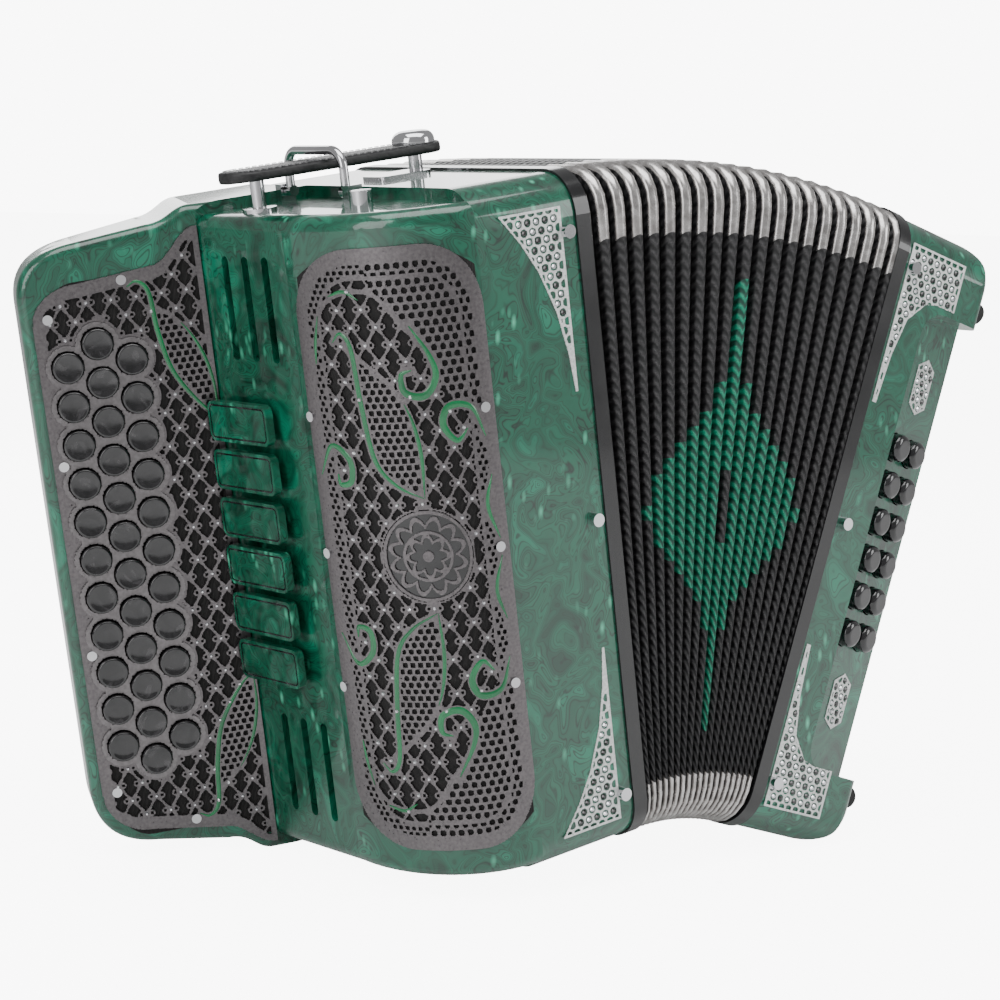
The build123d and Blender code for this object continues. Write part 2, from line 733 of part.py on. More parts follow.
with BuildPart() as treble_screws:
    for face in (facing_front, facing_back):
        for plane in at_pins(treble, -pin_inset, face):
            with BuildSketch(plane):
                Circle(pin_radius)
            extrude(amount=pin_head)
    with BuildSketch(plate_front):
        with Locations((screw_margin - plate_width, 0)):
            with GridLocations(1, 5 * button_pitch, 1, 2):
                Circle(screw_radius)
        with Locations((1.5 * screw_margin - plate_width, 0)):
            with GridLocations(1, 12.5 * button_pitch, 1, 2):
                Circle(screw_radius)
        with Locations((-button_inset, plate_top - screw_margin), (-button_inset, plate_bottom + 1.5 * screw_margin)):
            Circle(screw_radius)
    extrude(amount=screw_head)
    for angle in (grille_screw_angle, 90 - grille_screw_angle):
        with BuildSketch(on_grille(angle)):
            with GridLocations(1, grille_screw_pitch, 1, 3):
                Circle(screw_radius)
        extrude(amount=screw_head)
    with BuildSketch(on(treble, thumb_screw[0], thumb_screw[1], cover_top)):
        Circle(thumb_screw_radius)
    extrude(amount=thumb_screw_height)
treble_screws.part.label = "treble_screws"
export_step(treble_screws.part, "parts/treble_screws.step")

with BuildPart() as bass_screws:
    for face in (facing_front, facing_back):
        for plane in at_pins(bass, pin_inset, face):
            with BuildSketch(plane):
                Circle(pin_radius)
            extrude(amount=pin_head)
    for end in (-1, 1):
        tab_z = casing_middle + end * (strap_half - strap_tab / 2)
        with BuildSketch(on(bass, bass_width + strap_thickness, strap_y, tab_z, facing_bass)):
            RectangleRounded(strap_width - 8, strap_tab - 2, 3)
        extrude(amount=bracket_sheet)
        with BuildSketch(on(bass, bass_width + strap_thickness + bracket_sheet, strap_y, tab_z, facing_bass)):
            with GridLocations(strap_width / 2, 1, 2, 1):
                Circle(pin_radius)
        extrude(amount=screw_head)
bass_screws.part.label = "bass_screws"
export_step(bass_screws.part, "parts/bass_screws.step")
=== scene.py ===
"""The looks of a diatonic button accordion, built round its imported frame, in the order it is put together."""
import json
from math import atan2, cos, pi, radians, sin

import bpy
import numpy as np
from mathutils import Matrix, Vector


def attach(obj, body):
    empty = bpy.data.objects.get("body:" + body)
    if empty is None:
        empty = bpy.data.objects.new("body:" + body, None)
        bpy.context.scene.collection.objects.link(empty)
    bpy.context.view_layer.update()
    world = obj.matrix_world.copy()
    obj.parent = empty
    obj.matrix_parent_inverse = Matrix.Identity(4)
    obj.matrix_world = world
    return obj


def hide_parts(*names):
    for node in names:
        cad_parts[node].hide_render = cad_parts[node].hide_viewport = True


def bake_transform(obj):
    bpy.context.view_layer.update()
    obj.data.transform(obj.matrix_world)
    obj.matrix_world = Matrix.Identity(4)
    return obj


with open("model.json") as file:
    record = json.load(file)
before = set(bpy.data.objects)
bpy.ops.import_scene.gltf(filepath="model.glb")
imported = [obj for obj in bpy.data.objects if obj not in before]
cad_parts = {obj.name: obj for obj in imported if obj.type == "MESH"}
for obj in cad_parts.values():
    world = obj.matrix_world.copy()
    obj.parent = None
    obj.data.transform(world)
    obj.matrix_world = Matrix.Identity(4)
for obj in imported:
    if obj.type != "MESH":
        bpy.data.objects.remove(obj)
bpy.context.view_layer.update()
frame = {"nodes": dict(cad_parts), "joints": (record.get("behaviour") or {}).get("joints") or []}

# ---- The stance ----
# The instrument stands on a pale table with its bellows fanned open. The bellows hinge along twenty lines at
# their bottom edge, and each casing is an upright box in a leaning frame that is worked out from those lines.
MM = 0.001
frame_depth, fold_gap, fold_thickness = 8.0, 0.83, 2.3
casing_base, casing_height, casing_depth = 3.0, 325.0, 192.0
fold_margin = 0.8
middle = casing_base + casing_height / 2
hinge_height = casing_base - fold_margin
front_y = -casing_depth / 2 * MM


def leaning(origin, lean):
    """A frame with its x axis turned down by the lean, y to the back and z square to both."""
    axes = np.array([[cos(lean), 0, -sin(lean)], [0, 1, 0], [sin(lean), 0, cos(lean)]])
    return np.array(origin, float), axes


def place(stand, x, y, z):
    """Points of a frame, given in millimetres along its three axes, as metres in the room."""
    origin, axes = stand
    x, y, z = np.broadcast_arrays(x, y, z)
    return origin + MM * (x[..., None] * axes[0] + y[..., None] * axes[1] + z[..., None] * axes[2])


def hinge_order(joint):
    return 99 if joint["name"] == "bellows_fan" else int(joint["name"][-2:])


hinge_joints = sorted((j for j in frame["joints"] if j["name"].startswith(("fold_hinge", "bellows_fan"))),
                      key=hinge_order)
hinges = np.array([j["pos_m"] for j in hinge_joints])
steps = np.diff(hinges, axis=0)
leans = [atan2(-step[2], step[0]) for step in steps]
fold_angle = leans[1] - leans[0]
leans.append(leans[-1] + fold_angle)
hinges[:, 1] = front_y
fold_stands = [leaning(hinge, lean) for hinge, lean in zip(hinges, leans)]
treble_axes = leaning((0, 0, 0), leans[0] - fold_angle)
treble = (hinges[0] - place(treble_axes, frame_depth + fold_gap / 2, 0, hinge_height), treble_axes[1])
bass = (place(fold_stands[-1], fold_gap / 2 + frame_depth, 0, -hinge_height), fold_stands[-1][1])

# ---- Camera, table and studio light ----
# A long lens at the height of the instrument's top, turned to its front and treble side. The table is a flat
# pale plane, and four soft boxes and a bright room light it.
camera = bpy.data.objects.new("camera", bpy.data.cameras.new("camera"))
bpy.context.scene.collection.objects.link(camera)
bpy.context.scene.camera = camera
camera.data.lens = 87.8
camera.data.sensor_width = 36
ahead = Vector((0.5893, 0.7988, -0.1212)).normalized()
right = Vector((0.8065, -0.5906, 0.0287))
right = (right - right.dot(ahead) * ahead).normalized()
upward = right.cross(ahead)
camera.matrix_world = Matrix.Translation((-0.7382, -0.9829, 0.3257)) @ Matrix(
    (right, upward, -ahead)).transposed().to_4x4()

world = bpy.data.worlds.new("studio")
bpy.context.scene.world = world
world.use_nodes = True
sky = world.node_tree.nodes["Background"]
sky.inputs["Color"].default_value = (1, 1, 1, 1)
seen = world.node_tree.nodes.new("ShaderNodeLightPath")
share = world.node_tree.nodes.new("ShaderNodeMapRange")
share.inputs["To Min"].default_value, share.inputs["To Max"].default_value = 0.36, 9.0
world.node_tree.links.new(seen.outputs["Is Camera Ray"], share.inputs["Value"])
world.node_tree.links.new(share.outputs[0], sky.inputs["Strength"])

bpy.ops.mesh.primitive_plane_add(size=60, location=(0, 0, 0))
table = bpy.context.object
table.name = "table"
table_paint = bpy.data.materials.new("pale_table")
table_paint.use_nodes = True
table_shader = table_paint.node_tree.nodes["Principled BSDF"]
table_shader.inputs["Base Color"].default_value = (0.9, 0.9, 0.9, 1)
table_shader.inputs["Roughness"].default_value = 0.6
table_shader.inputs["Emission Color"].default_value = (1, 1, 1, 1)
table_seen = table_paint.node_tree.nodes.new("ShaderNodeLightPath")
glow = table_paint.node_tree.nodes.new("ShaderNodeMapRange")
glow.inputs["To Min"].default_value, glow.inputs["To Max"].default_value = 0.1, 8.0
table_paint.node_tree.links.new(table_seen.outputs["Is Camera Ray"], glow.inputs["Value"])
table_paint.node_tree.links.new(glow.outputs[0], table_shader.inputs["Emission Strength"])
table.data.materials.append(table_paint)


def soft_box(name, place_m, size, power):
    """An area lamp that points at the middle of the instrument."""
    lamp = bpy.data.objects.new(name, bpy.data.lights.new(name, "AREA"))
    bpy.context.scene.collection.objects.link(lamp)
    lamp.data.shape = "RECTANGLE"
    lamp.data.size, lamp.data.size_y = size
    lamp.data.energy = power
    lamp.location = place_m
    lamp.rotation_euler = (Vector((0, 0, 0.17)) - Vector(place_m)).to_track_quat("-Z", "Y").to_euler()


soft_box("top_box", (-0.2, -0.3, 1.5), (1.4, 0.9), 16)
soft_box("left_box", (-1.7, -0.5, 0.8), (0.8, 1.3), 12)
soft_box("right_box", (1.3, -1.4, 0.9), (0.7, 1.2), 12)
soft_box("back_box", (0.6, 1.6, 1.0), (1.2, 0.8), 10)

# ---- Green pearl celluloid on the casings, the grille cover and the wing ----
# Sheet celluloid, steamed over the wooden casings and polished. Its pearl lies in curled layers, which show
# as dark contour lines, pale folds and small bright flecks under a clear gloss.


def node_of(tree, kind, **values):
    """A shader node with its settings and its unlinked sockets filled in."""
    made = tree.nodes.new(kind)
    for key, value in values.items():
        if key.startswith("_"):
            made.inputs[int(key[1:])].default_value = value
        else:
            setattr(made, key, value)
    return made


def ramp_of(tree, source, stops):
    """A colour ramp on a value, from (position, colour) stops."""
    ramp = tree.nodes.new("ShaderNodeValToRGB")
    while len(ramp.color_ramp.elements) < len(stops):
        ramp.color_ramp.elements.new(0.5)
    for element, (position, colour) in zip(ramp.color_ramp.elements, stops):
        element.position = position
        element.color = (*colour, 1) if len(colour) == 3 else colour
    tree.links.new(source, ramp.inputs[0])
    return ramp.outputs[0]


def maths(tree, operation, a, b=0.5, clamp=False):
    """A math node on two values or sockets."""
    made = node_of(tree, "ShaderNodeMath", operation=operation, use_clamp=clamp)
    for socket, value in zip(made.inputs, (a, b)):
        if isinstance(value, (int, float)):
            socket.default_value = value
        else:
            tree.links.new(value, socket)
    return made.outputs[0]


def mixed(tree, share, a, b, blend="MIX"):
    """A colour mix of two colours or sockets."""
    made = node_of(tree, "ShaderNodeMix", data_type="RGBA", blend_type=blend)
    for socket, value in ((made.inputs[0], share), (made.inputs[6], a), (made.inputs[7], b)):
        if isinstance(value, (int, float)):
            socket.default_value = value
        elif isinstance(value, tuple):
            socket.default_value = (*value, 1)
        else:
            tree.links.new(value, socket)
    return made.outputs[2]


def new_paint(name, roughness=0.4, metallic=0.0, coat=0.0, coat_roughness=0.03):
    """A material with a Principled shader, and the tree and shader to finish it with."""
    paint = bpy.data.materials.new(name)
    paint.use_nodes = True
    shader = paint.node_tree.nodes["Principled BSDF"]
    shader.inputs["Roughness"].default_value = roughness
    shader.inputs["Metallic"].default_value = metallic
    shader.inputs["Coat Weight"].default_value = coat
    shader.inputs["Coat Roughness"].default_value = coat_roughness
    return paint, paint.node_tree, shader


def bumped(tree, shader, height, strength, distance):
    """A bump from a height socket on the shader's normal."""
    bump = node_of(tree, "ShaderNodeBump")
    bump.inputs["Strength"].default_value = strength
    bump.inputs["Distance"].default_value = distance
    tree.links.new(height, bump.inputs["Height"])
    tree.links.new(bump.outputs[0], shader.inputs["Normal"])


def celluloid():
    """Contour lines of a warped noise, darkened where their steps meet, over a slow change of green."""
    paint, tree, shader = new_paint("pearl_celluloid", roughness=0.3, coat=1.0, coat_roughness=0.04)
    place_in = node_of(tree, "ShaderNodeTexCoord").outputs["Object"]
    swirl = node_of(tree, "ShaderNodeTexNoise")
    swirl.inputs["Scale"].default_value = 46
    swirl.inputs["Detail"].default_value = 1.5
    swirl.inputs["Distortion"].default_value = 1.1
    tree.links.new(place_in, swirl.inputs["Vector"])
    layers = maths(tree, "FRACT", maths(tree, "MULTIPLY", swirl.outputs["Fac"], 24.0))
    line = maths(tree, "SUBTRACT", 1.0, maths(tree, "MULTIPLY", maths(tree, "ABSOLUTE",
                 maths(tree, "SUBTRACT", layers, 0.5)), 5.0), clamp=True)
    patch = node_of(tree, "ShaderNodeTexNoise")
    patch.inputs["Scale"].default_value = 30
    patch.inputs["Detail"].default_value = 2
    tree.links.new(place_in, patch.inputs["Vector"])
    where = ramp_of(tree, patch.outputs["Fac"], [(0.34, (0.35,) * 3), (0.56, (1,) * 3)])
    green = ramp_of(tree, swirl.outputs["Fac"],
                    [(0.3, (0.0, 0.045, 0.024)), (0.46, (0.0, 0.125, 0.066)), (0.56, (0.0, 0.075, 0.04)),
                     (0.7, (0.0, 0.20, 0.11))])
    line_share = maths(tree, "MULTIPLY", maths(tree, "MULTIPLY", line, where), 0.95)
    lined = mixed(tree, line_share, green, (0.0, 0.010, 0.006))
    fleck = node_of(tree, "ShaderNodeTexVoronoi")
    fleck.inputs["Scale"].default_value = 170
    stretch = node_of(tree, "ShaderNodeMapping")
    stretch.inputs["Scale"].default_value = (1.0, 1.0, 0.42)
    stretch.inputs["Rotation"].default_value = (0.5, 0.4, 0.3)
    tree.links.new(place_in, stretch.inputs["Vector"])
    tree.links.new(stretch.outputs[0], fleck.inputs["Vector"])
    bright = ramp_of(tree, fleck.outputs["Distance"], [(0.0, (1,) * 3), (0.3, (0,) * 3)])
    rare = ramp_of(tree, patch.outputs["Fac"], [(0.5, (0,) * 3), (0.6, (1,) * 3)])
    shine = maths(tree, "MULTIPLY", bright, rare)
    tree.links.new(mixed(tree, shine, lined, (0.10, 0.62, 0.38)), shader.inputs["Base Color"])
    bumped(tree, shader, layers, 0.05, 0.0004)
    return paint


def dress(node, paint):
    """Gives a CAD node its material."""
    mesh = frame["nodes"][node].data
    mesh.materials.clear()
    mesh.materials.append(paint)


pearl = celluloid()
for node in ("treble_casing", "grille_cover", "fingerboard", "bass_casing", "bass_button_panel"):
    dress(node, pearl)

# ---- Plain finishes of the pieces that keep their CAD shape ----
# Black lacquered bellows frames, spruce blocks, red felt pallets, rubber feet and plated metal.


def grained(name, colour, dark, scale, roughness, metallic=0.0, coat=0.0, bump=0.1, stretch=(1, 1, 1)):
    """A finish whose colour and roughness vary with a fine noise."""
    paint, tree, shader = new_paint(name, roughness, metallic, coat)
    turned = node_of(tree, "ShaderNodeMapping")
    turned.inputs["Scale"].default_value = stretch
    tree.links.new(node_of(tree, "ShaderNodeTexCoord").outputs["Object"], turned.inputs["Vector"])
    noise = node_of(tree, "ShaderNodeTexNoise")
    noise.inputs["Scale"].default_value = scale
    noise.inputs["Detail"].default_value = 4
    tree.links.new(turned.outputs[0], noise.inputs["Vector"])
    tone = ramp_of(tree, noise.outputs["Fac"], [(0.35, dark), (0.65, colour)])
    tree.links.new(tone, shader.inputs["Base Color"])
    low, high = roughness * 0.75, min(1, roughness * 1.25)
    tree.links.new(maths(tree, "ADD", maths(tree, "MULTIPLY", noise.outputs["Fac"], high - low), low),
                   shader.inputs["Roughness"])
    bumped(tree, shader, noise.outputs["Fac"], bump, 0.0003)
    return paint


lacquer = grained("black_lacquer", (0.012, 0.012, 0.013), (0.006, 0.006, 0.007), 60, 0.22, coat=0.6,
                  bump=0.02)
spruce = grained("spruce", (0.6, 0.42, 0.24), (0.42, 0.27, 0.14), 40, 0.6, stretch=(6, 6, 0.6))
felt = grained("red_felt", (0.45, 0.03, 0.03), (0.3, 0.015, 0.015), 900, 0.95, bump=0.6)
rubber = grained("foot_rubber", (0.016, 0.016, 0.017), (0.008, 0.008, 0.008), 500, 0.65, bump=0.3)
chrome = grained("chrome", (0.78, 0.78, 0.8), (0.66, 0.66, 0.68), 25, 0.08, metallic=1.0, bump=0.01)
gunmetal = grained("gunmetal", (0.2, 0.185, 0.19), (0.145, 0.135, 0.14), 700, 0.3, metallic=0.85, bump=0.03)
gloss_black = grained("gloss_black", (0.018, 0.018, 0.02), (0.006, 0.006, 0.007), 90, 0.12, coat=0.8,
                      bump=0.02)
leather = grained("black_leather", (0.022, 0.022, 0.023), (0.008, 0.008, 0.009), 420, 0.5, bump=0.9)
for finish, nodes in (
        (lacquer, ("treble_bellows_frame", "bass_bellows_frame")),
        (spruce, ("treble_reed_blocks", "bass_reed_blocks")),
        (felt, ("treble_pallets",)),
        (rubber, ("rubber_feet",)),
        (chrome, ("strap_fittings", "strap_ring", "air_button", "treble_screws", "bass_screws")),
        (gunmetal, ("grille_plate", "button_plate")),
        (leather, ("closure_strap", "hand_strap")),
        (gloss_black, [n for n in frame["nodes"] if n.startswith(("treble_buttons", "bass_button_0",
                                                                   "bass_button_1"))]),
        (pearl, [n for n in frame["nodes"] if n.startswith("register_switch")])):
    for node in nodes:
        dress(node, finish)

# ---- Bellows: folded card, cloth tape on each ridge, metal caps on the corners ----
# Nineteen folds of card, covered in black cloth, between two lacquered frames. A braided tape is glued over
# each ridge, the tape is green where the folds draw a diamond, and pressed metal caps guard the four corners.
fold_width, fold_height = casing_depth + 2 * fold_margin, casing_height + 2 * fold_margin
fold_corner, valley_depth = 20.8, 20.0
cap_reach_down, cap_reach_along = 27.0, 30.0
half_ridge = fold_thickness / 2    # half of the frame's own ridge, beside its first and last span
ridge_stands = [(place(treble, frame_depth - half_ridge, 0, hinge_height), treble[1])]
ridge_stands += [(place(stand, fold_gap / 2 + fold_thickness / 2, 0, 0), stand[1])
                 for stand in fold_stands[:-1]]
ridge_stands += [(place(bass, half_ridge - frame_depth, 0, hinge_height), bass[1])]


def rim(inset, around):
    """A fold's rounded rectangle, drawn in by an inset: places round it as (y, z) for shares of its length.

    The length starts at the middle of the bottom edge and runs to the back, up, to the front and down."""
    width, height = fold_width - 2 * inset, fold_height - 2 * inset
    corner = np.maximum(fold_corner - inset, 3.0)
    runs = [width / 2 - corner, corner * pi / 2, height - 2 * corner, corner * pi / 2, width - 2 * corner,
            corner * pi / 2, height - 2 * corner, corner * pi / 2, width / 2 - corner]
    ends = np.cumsum(runs, axis=0)
    length = around * ends[-1]
    heading, y, z = 0.0, np.zeros_like(length), -height / 2 + np.zeros_like(length)
    start = np.zeros_like(length)
    for number, run in enumerate(runs):
        part = np.clip(length - start, 0, run)
        if number % 2 == 0:
            y = y + part * cos(heading)
            z = z + part * sin(heading)
        else:
            turn = part / corner
            y = y + corner * (np.sin(heading + turn) - sin(heading))
            z = z - corner * (np.cos(heading + turn) - cos(heading))
            heading += pi / 2
        start = start + run
    return y + casing_depth / 2, z + fold_height / 2


def facing_out(points, faces, toward=None):
    """The faces, turned over if they point against a direction or, with none given, into their shape."""
    corners = points[faces]
    normals = np.cross(corners[:, 2] - corners[:, 0], corners[:, 3] - corners[:, 1])
    away = corners.mean(1) - points.mean(0) if toward is None else toward
    return faces if (normals * away).sum() > 0 else faces[:, ::-1]


def grid_mesh(name, points, paints, uv=None, wrap=False, paint_of=None, toward=None):
    """A mesh from a grid of points: each row joins the next, and closes on itself when it wraps."""
    rows, columns = points.shape[:2]
    index = np.arange(rows * columns).reshape(rows, columns)
    after = np.roll(index, -1, axis=1) if wrap else index[:, 1:]
    here = index if wrap else index[:, :-1]
    faces = np.stack([here[:-1], after[:-1], after[1:], here[1:]], -1).reshape(-1, 4)
    faces = facing_out(points.reshape(-1, 3), faces, toward)
    mesh = bpy.data.meshes.new(name)
    mesh.from_pydata(points.reshape(-1, 3).tolist(), [], faces.tolist())
    for paint in paints:
        mesh.materials.append(paint)
    if uv is not None:
        layer = mesh.uv_layers.new(name="UVMap")
        layer.data.foreach_set("uv", uv.reshape(-1, 2)[faces].astype(np.float32).ravel())
    if paint_of is not None:
        mesh.polygons.foreach_set("material_index", paint_of.astype(np.int32))
    mesh.polygons.foreach_set("use_smooth", np.ones(len(faces), bool))
    piece = bpy.data.objects.new(name, mesh)
    bpy.context.scene.collection.objects.link(piece)
    return piece


def tape_paint(name, colour, dark):
    """Braided tape: the UV map holds millimetres along and across the ridge, and slanted waves braid it."""
    paint, tree, shader = new_paint(name, roughness=0.5, coat=0.15, coat_roughness=0.3)
    uv = node_of(tree, "ShaderNodeUVMap").outputs[0]
    split = node_of(tree, "ShaderNodeSeparateXYZ")
    tree.links.new(uv, split.inputs[0])
    slant = maths(tree, "ADD", maths(tree, "MULTIPLY", split.outputs[0], 2 * pi / 5.2),
                  maths(tree, "MULTIPLY", split.outputs[1], 1.5))
    braid = maths(tree, "ADD", maths(tree, "MULTIPLY", maths(tree, "SINE", slant), 0.5), 0.5)
    noise = node_of(tree, "ShaderNodeTexNoise")
    noise.inputs["Scale"].default_value = 1.5
    tree.links.new(uv, noise.inputs["Vector"])
    tone = maths(tree, "MULTIPLY", braid, maths(tree, "ADD", noise.outputs["Fac"], 0.3))
    tree.links.new(ramp_of(tree, tone, [(0.2, dark), (0.7, colour)]), shader.inputs["Base Color"])
    polish = maths(tree, "SUBTRACT", 0.6, maths(tree, "MULTIPLY", braid, 0.3))
    tree.links.new(polish, shader.inputs["Roughness"])
    bumped(tree, shader, tone, 0.9, 0.0012)
    return paint


black_tape = tape_paint("black_tape", (0.035, 0.034, 0.036), (0.004, 0.004, 0.005))
green_tape = tape_paint("green_tape", (0.0, 0.30, 0.17), (0.0, 0.055, 0.034))
fold_cloth = grained("fold_cloth", (0.007, 0.007, 0.008), (0.003, 0.003, 0.003), 1500, 0.75, bump=0.3)
green_cloth = grained("green_cloth", (0.0, 0.10, 0.06), (0.0, 0.045, 0.028), 1500, 0.7, bump=0.3)
cap_metal = grained("corner_metal", (0.72, 0.70, 0.69), (0.45, 0.43, 0.42), 220, 0.26, metallic=0.9,
                    bump=0.05)

# The section from one ridge to the next: half a rounded ridge, the panel down to the valley, and the mirror.
ridge_half = 0.31
bend = np.linspace(0, pi / 2, 6)
section_x = np.concatenate([ridge_half * np.sin(bend), [0.325, 0.41, 0.5]])
section_in = np.concatenate([2.6 * (1 - np.cos(bend)), [5.0, 12.5, valley_depth]])
section_x = np.concatenate([section_x, 1 - section_x[-2::-1]])
section_in = np.concatenate([section_in, section_in[-2::-1]])
around = np.linspace(0, 1, 141)[:-1]
perimeter = 2 * (fold_width + fold_height) - 8 * fold_corner + 2 * pi * fold_corner
along_mm = around * perimeter
ridge_y, ridge_z = rim(0.0, around)
near_corner = ((ridge_z > fold_height - cap_reach_down) & ((ridge_y < cap_reach_along + 10)
               | (ridge_y > casing_depth - cap_reach_along - 10))) | (
    (ridge_z < cap_reach_down) & ((ridge_y < cap_reach_along) | (ridge_y > casing_depth - cap_reach_along)))
on_front = ridge_y < 2.0
diamond_height, diamond_half, stripe_fold = 163.0, 67.0, 10


def green_span(fold):
    """The part of a ridge that is green on the front: a diamond seven folds each way, with a dark heart."""
    step = abs(fold - stripe_fold)
    if step > 7:
        return np.zeros_like(on_front)
    reach = 114.0 if step == 0 else diamond_half * (1 - step / 7.8)
    off = np.abs(ridge_z - diamond_height)
    inside = off < reach
    if step == 0:
        inside &= ~((off < 20))
    return inside & on_front


for span in range(len(ridge_stands) - 1):
    left, other = ridge_stands[span], ridge_stands[span + 1]
    inset = np.maximum(section_in, 0)[:, None] + 0 * around[None, :]
    y, z = rim(inset, around[None, :] + 0 * inset)
    share = section_x[:, None, None]
    points = (1 - share) * place(left, 0, y, z) + share * place(other, 0, y, z)
    rows = len(section_x) - 1
    first_green, last_green = green_span(span), green_span(span + 1)
    paint_of = np.zeros((rows, len(around)), int)
    for row in range(rows):
        ridge_row = row < 6 or row >= rows - 6
        green = first_green if row < rows / 2 else last_green
        paint_of[row] = np.where(green, 2 if ridge_row else 3, 0 if ridge_row else 1)
        if row < 5 or row >= rows - 5:
            paint_of[row][near_corner] = 4
    uv = np.stack([np.broadcast_to(along_mm, inset.shape), np.broadcast_to(
        np.minimum(section_x, 1 - section_x)[:, None] * 10, inset.shape)], -1)
    piece = grid_mesh(f"bellows_span_{span + 1:02d}", points,
                      (black_tape, fold_cloth, green_tape, green_cloth, cap_metal), uv=uv, wrap=True,
                      paint_of=paint_of.ravel())
    if 0 < span:
        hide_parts(f"bellows_fold_{span:02d}")
    top_left = place(left, 0, casing_depth / 2, fold_height)
    top_other = place(other, 0, casing_depth / 2, fold_height)
    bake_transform(piece)


# ---- Grille plate: a curved sheet of etched gunmetal over black sound cloth ----
# The sheet is cut through into a lattice of small flowers with a stone in each, panels of honeycomb, a border
# of fine holes and a rosette, with green enamel laid along its leaves and scrolls. Screws hold its edge.
cover_bulge, cover_round, grille_sheet = 57.0, 72.0, 1.2
treble_width = 56.0
grille_half_width, grille_half_height, grille_corner = 48.0, 142.0, 32.0
lattice_across, lattice_rise = 12.0, 8.2
rosette_s, rosette_inner, rosette_outer, plain_border = 6.0, 21.4, 23.0, 7.2


def on_grille(s, t, lift):
    """A point of the grille: s mm round the cover's ellipse from the plate's middle, t mm up, and a lift."""
    turn = np.radians(47.0 + s / 49.0 * 43.0)
    x = -treble_width - (cover_bulge + grille_sheet + lift) * np.cos(turn)
    y = cover_round - (cover_round + grille_sheet + lift) * np.sin(turn)
    return place(treble, x, y, middle + t)


def rounded_box(s, t, half_s, half_t, corner):
    """Signed distance inside a rounded rectangle, positive inside."""
    qs, qt = np.abs(s) - half_s + corner, np.abs(t) - half_t + corner
    outside = np.hypot(np.maximum(qs, 0), np.maximum(qt, 0)) + np.minimum(np.maximum(qs, qt), 0)
    return corner - outside


def smooth_line(points, count=48):
    """A curve through a few chosen points (Catmull-Rom), as an array of places."""
    points = np.array(points, float)
    padded = np.vstack([2 * points[0] - points[1], points, 2 * points[-1] - points[-2]])
    share = np.linspace(0, len(points) - 1 - 1e-9, count)
    first = share.astype(int)
    part = (share - first)[:, None]
    a, b, c, d = (padded[first + shift] for shift in range(4))
    square, cube = 2 * a - 5 * b + 4 * c - d, 3 * b - 3 * c + d - a
    return 0.5 * (2 * b + (c - a) * part + square * part ** 2 + cube * part ** 3)


def from_line(s, t, line):
    """Distance from each place to a curve."""
    away = np.full(s.shape, 1e9)
    for start, end in zip(line[:-1], line[1:]):
        run = end - start
        share = np.clip(((s - start[0]) * run[0] + (t - start[1]) * run[1]) / max(run @ run, 1e-9), 0, 1)
        away = np.minimum(away, np.hypot(s - start[0] - share * run[0], t - start[1] - share * run[1]))
    return away


def honeycomb(s, t, pitch, wall):
    """Metal left between round holes on a hexagonal grid, positive in the metal."""
    rise = pitch * 0.866
    best = np.full(s.shape, 1e9)
    row = np.round(t / rise)
    for shift in (-1, 0, 1):
        line = row + shift
        offset = np.where(line % 2 == 0, 0, pitch / 2)
        nearest = np.round((s - offset) / pitch) * pitch + offset
        best = np.minimum(best, np.hypot(s - nearest, t - line * rise))
    return best - (pitch - wall) / 2


def flower_lattice(s, t, across, rise):
    """Curved lattice lines that meet in flowers, with two ringed eyes at each, positive in the metal."""
    metal = np.full(s.shape, -1e9)
    row0 = np.round(t / rise)
    for shift in (-1, 0, 1):
        row = row0 + shift
        offset = np.where(row % 2 == 0, 0, across / 2)
        near = np.round((s - offset) / across) * across + offset
        ds, dt = s - near, t - row * rise
        for side in (-1, 1):
            eye = np.hypot(ds - side * 2.7, dt)
            metal = np.maximum(metal, np.minimum(1.65 - eye, eye - 0.75))
        metal = np.maximum(metal, 1.35 - np.hypot(ds, dt))
        metal = np.maximum(metal, 0.55 - np.abs(np.abs(ds) * rise - np.abs(dt) * across / 2
                           + 2.4 * np.sin(2 * pi * dt / rise)) / np.hypot(rise, across / 2)
                           - np.maximum(np.abs(dt) - rise, 0))
    return metal


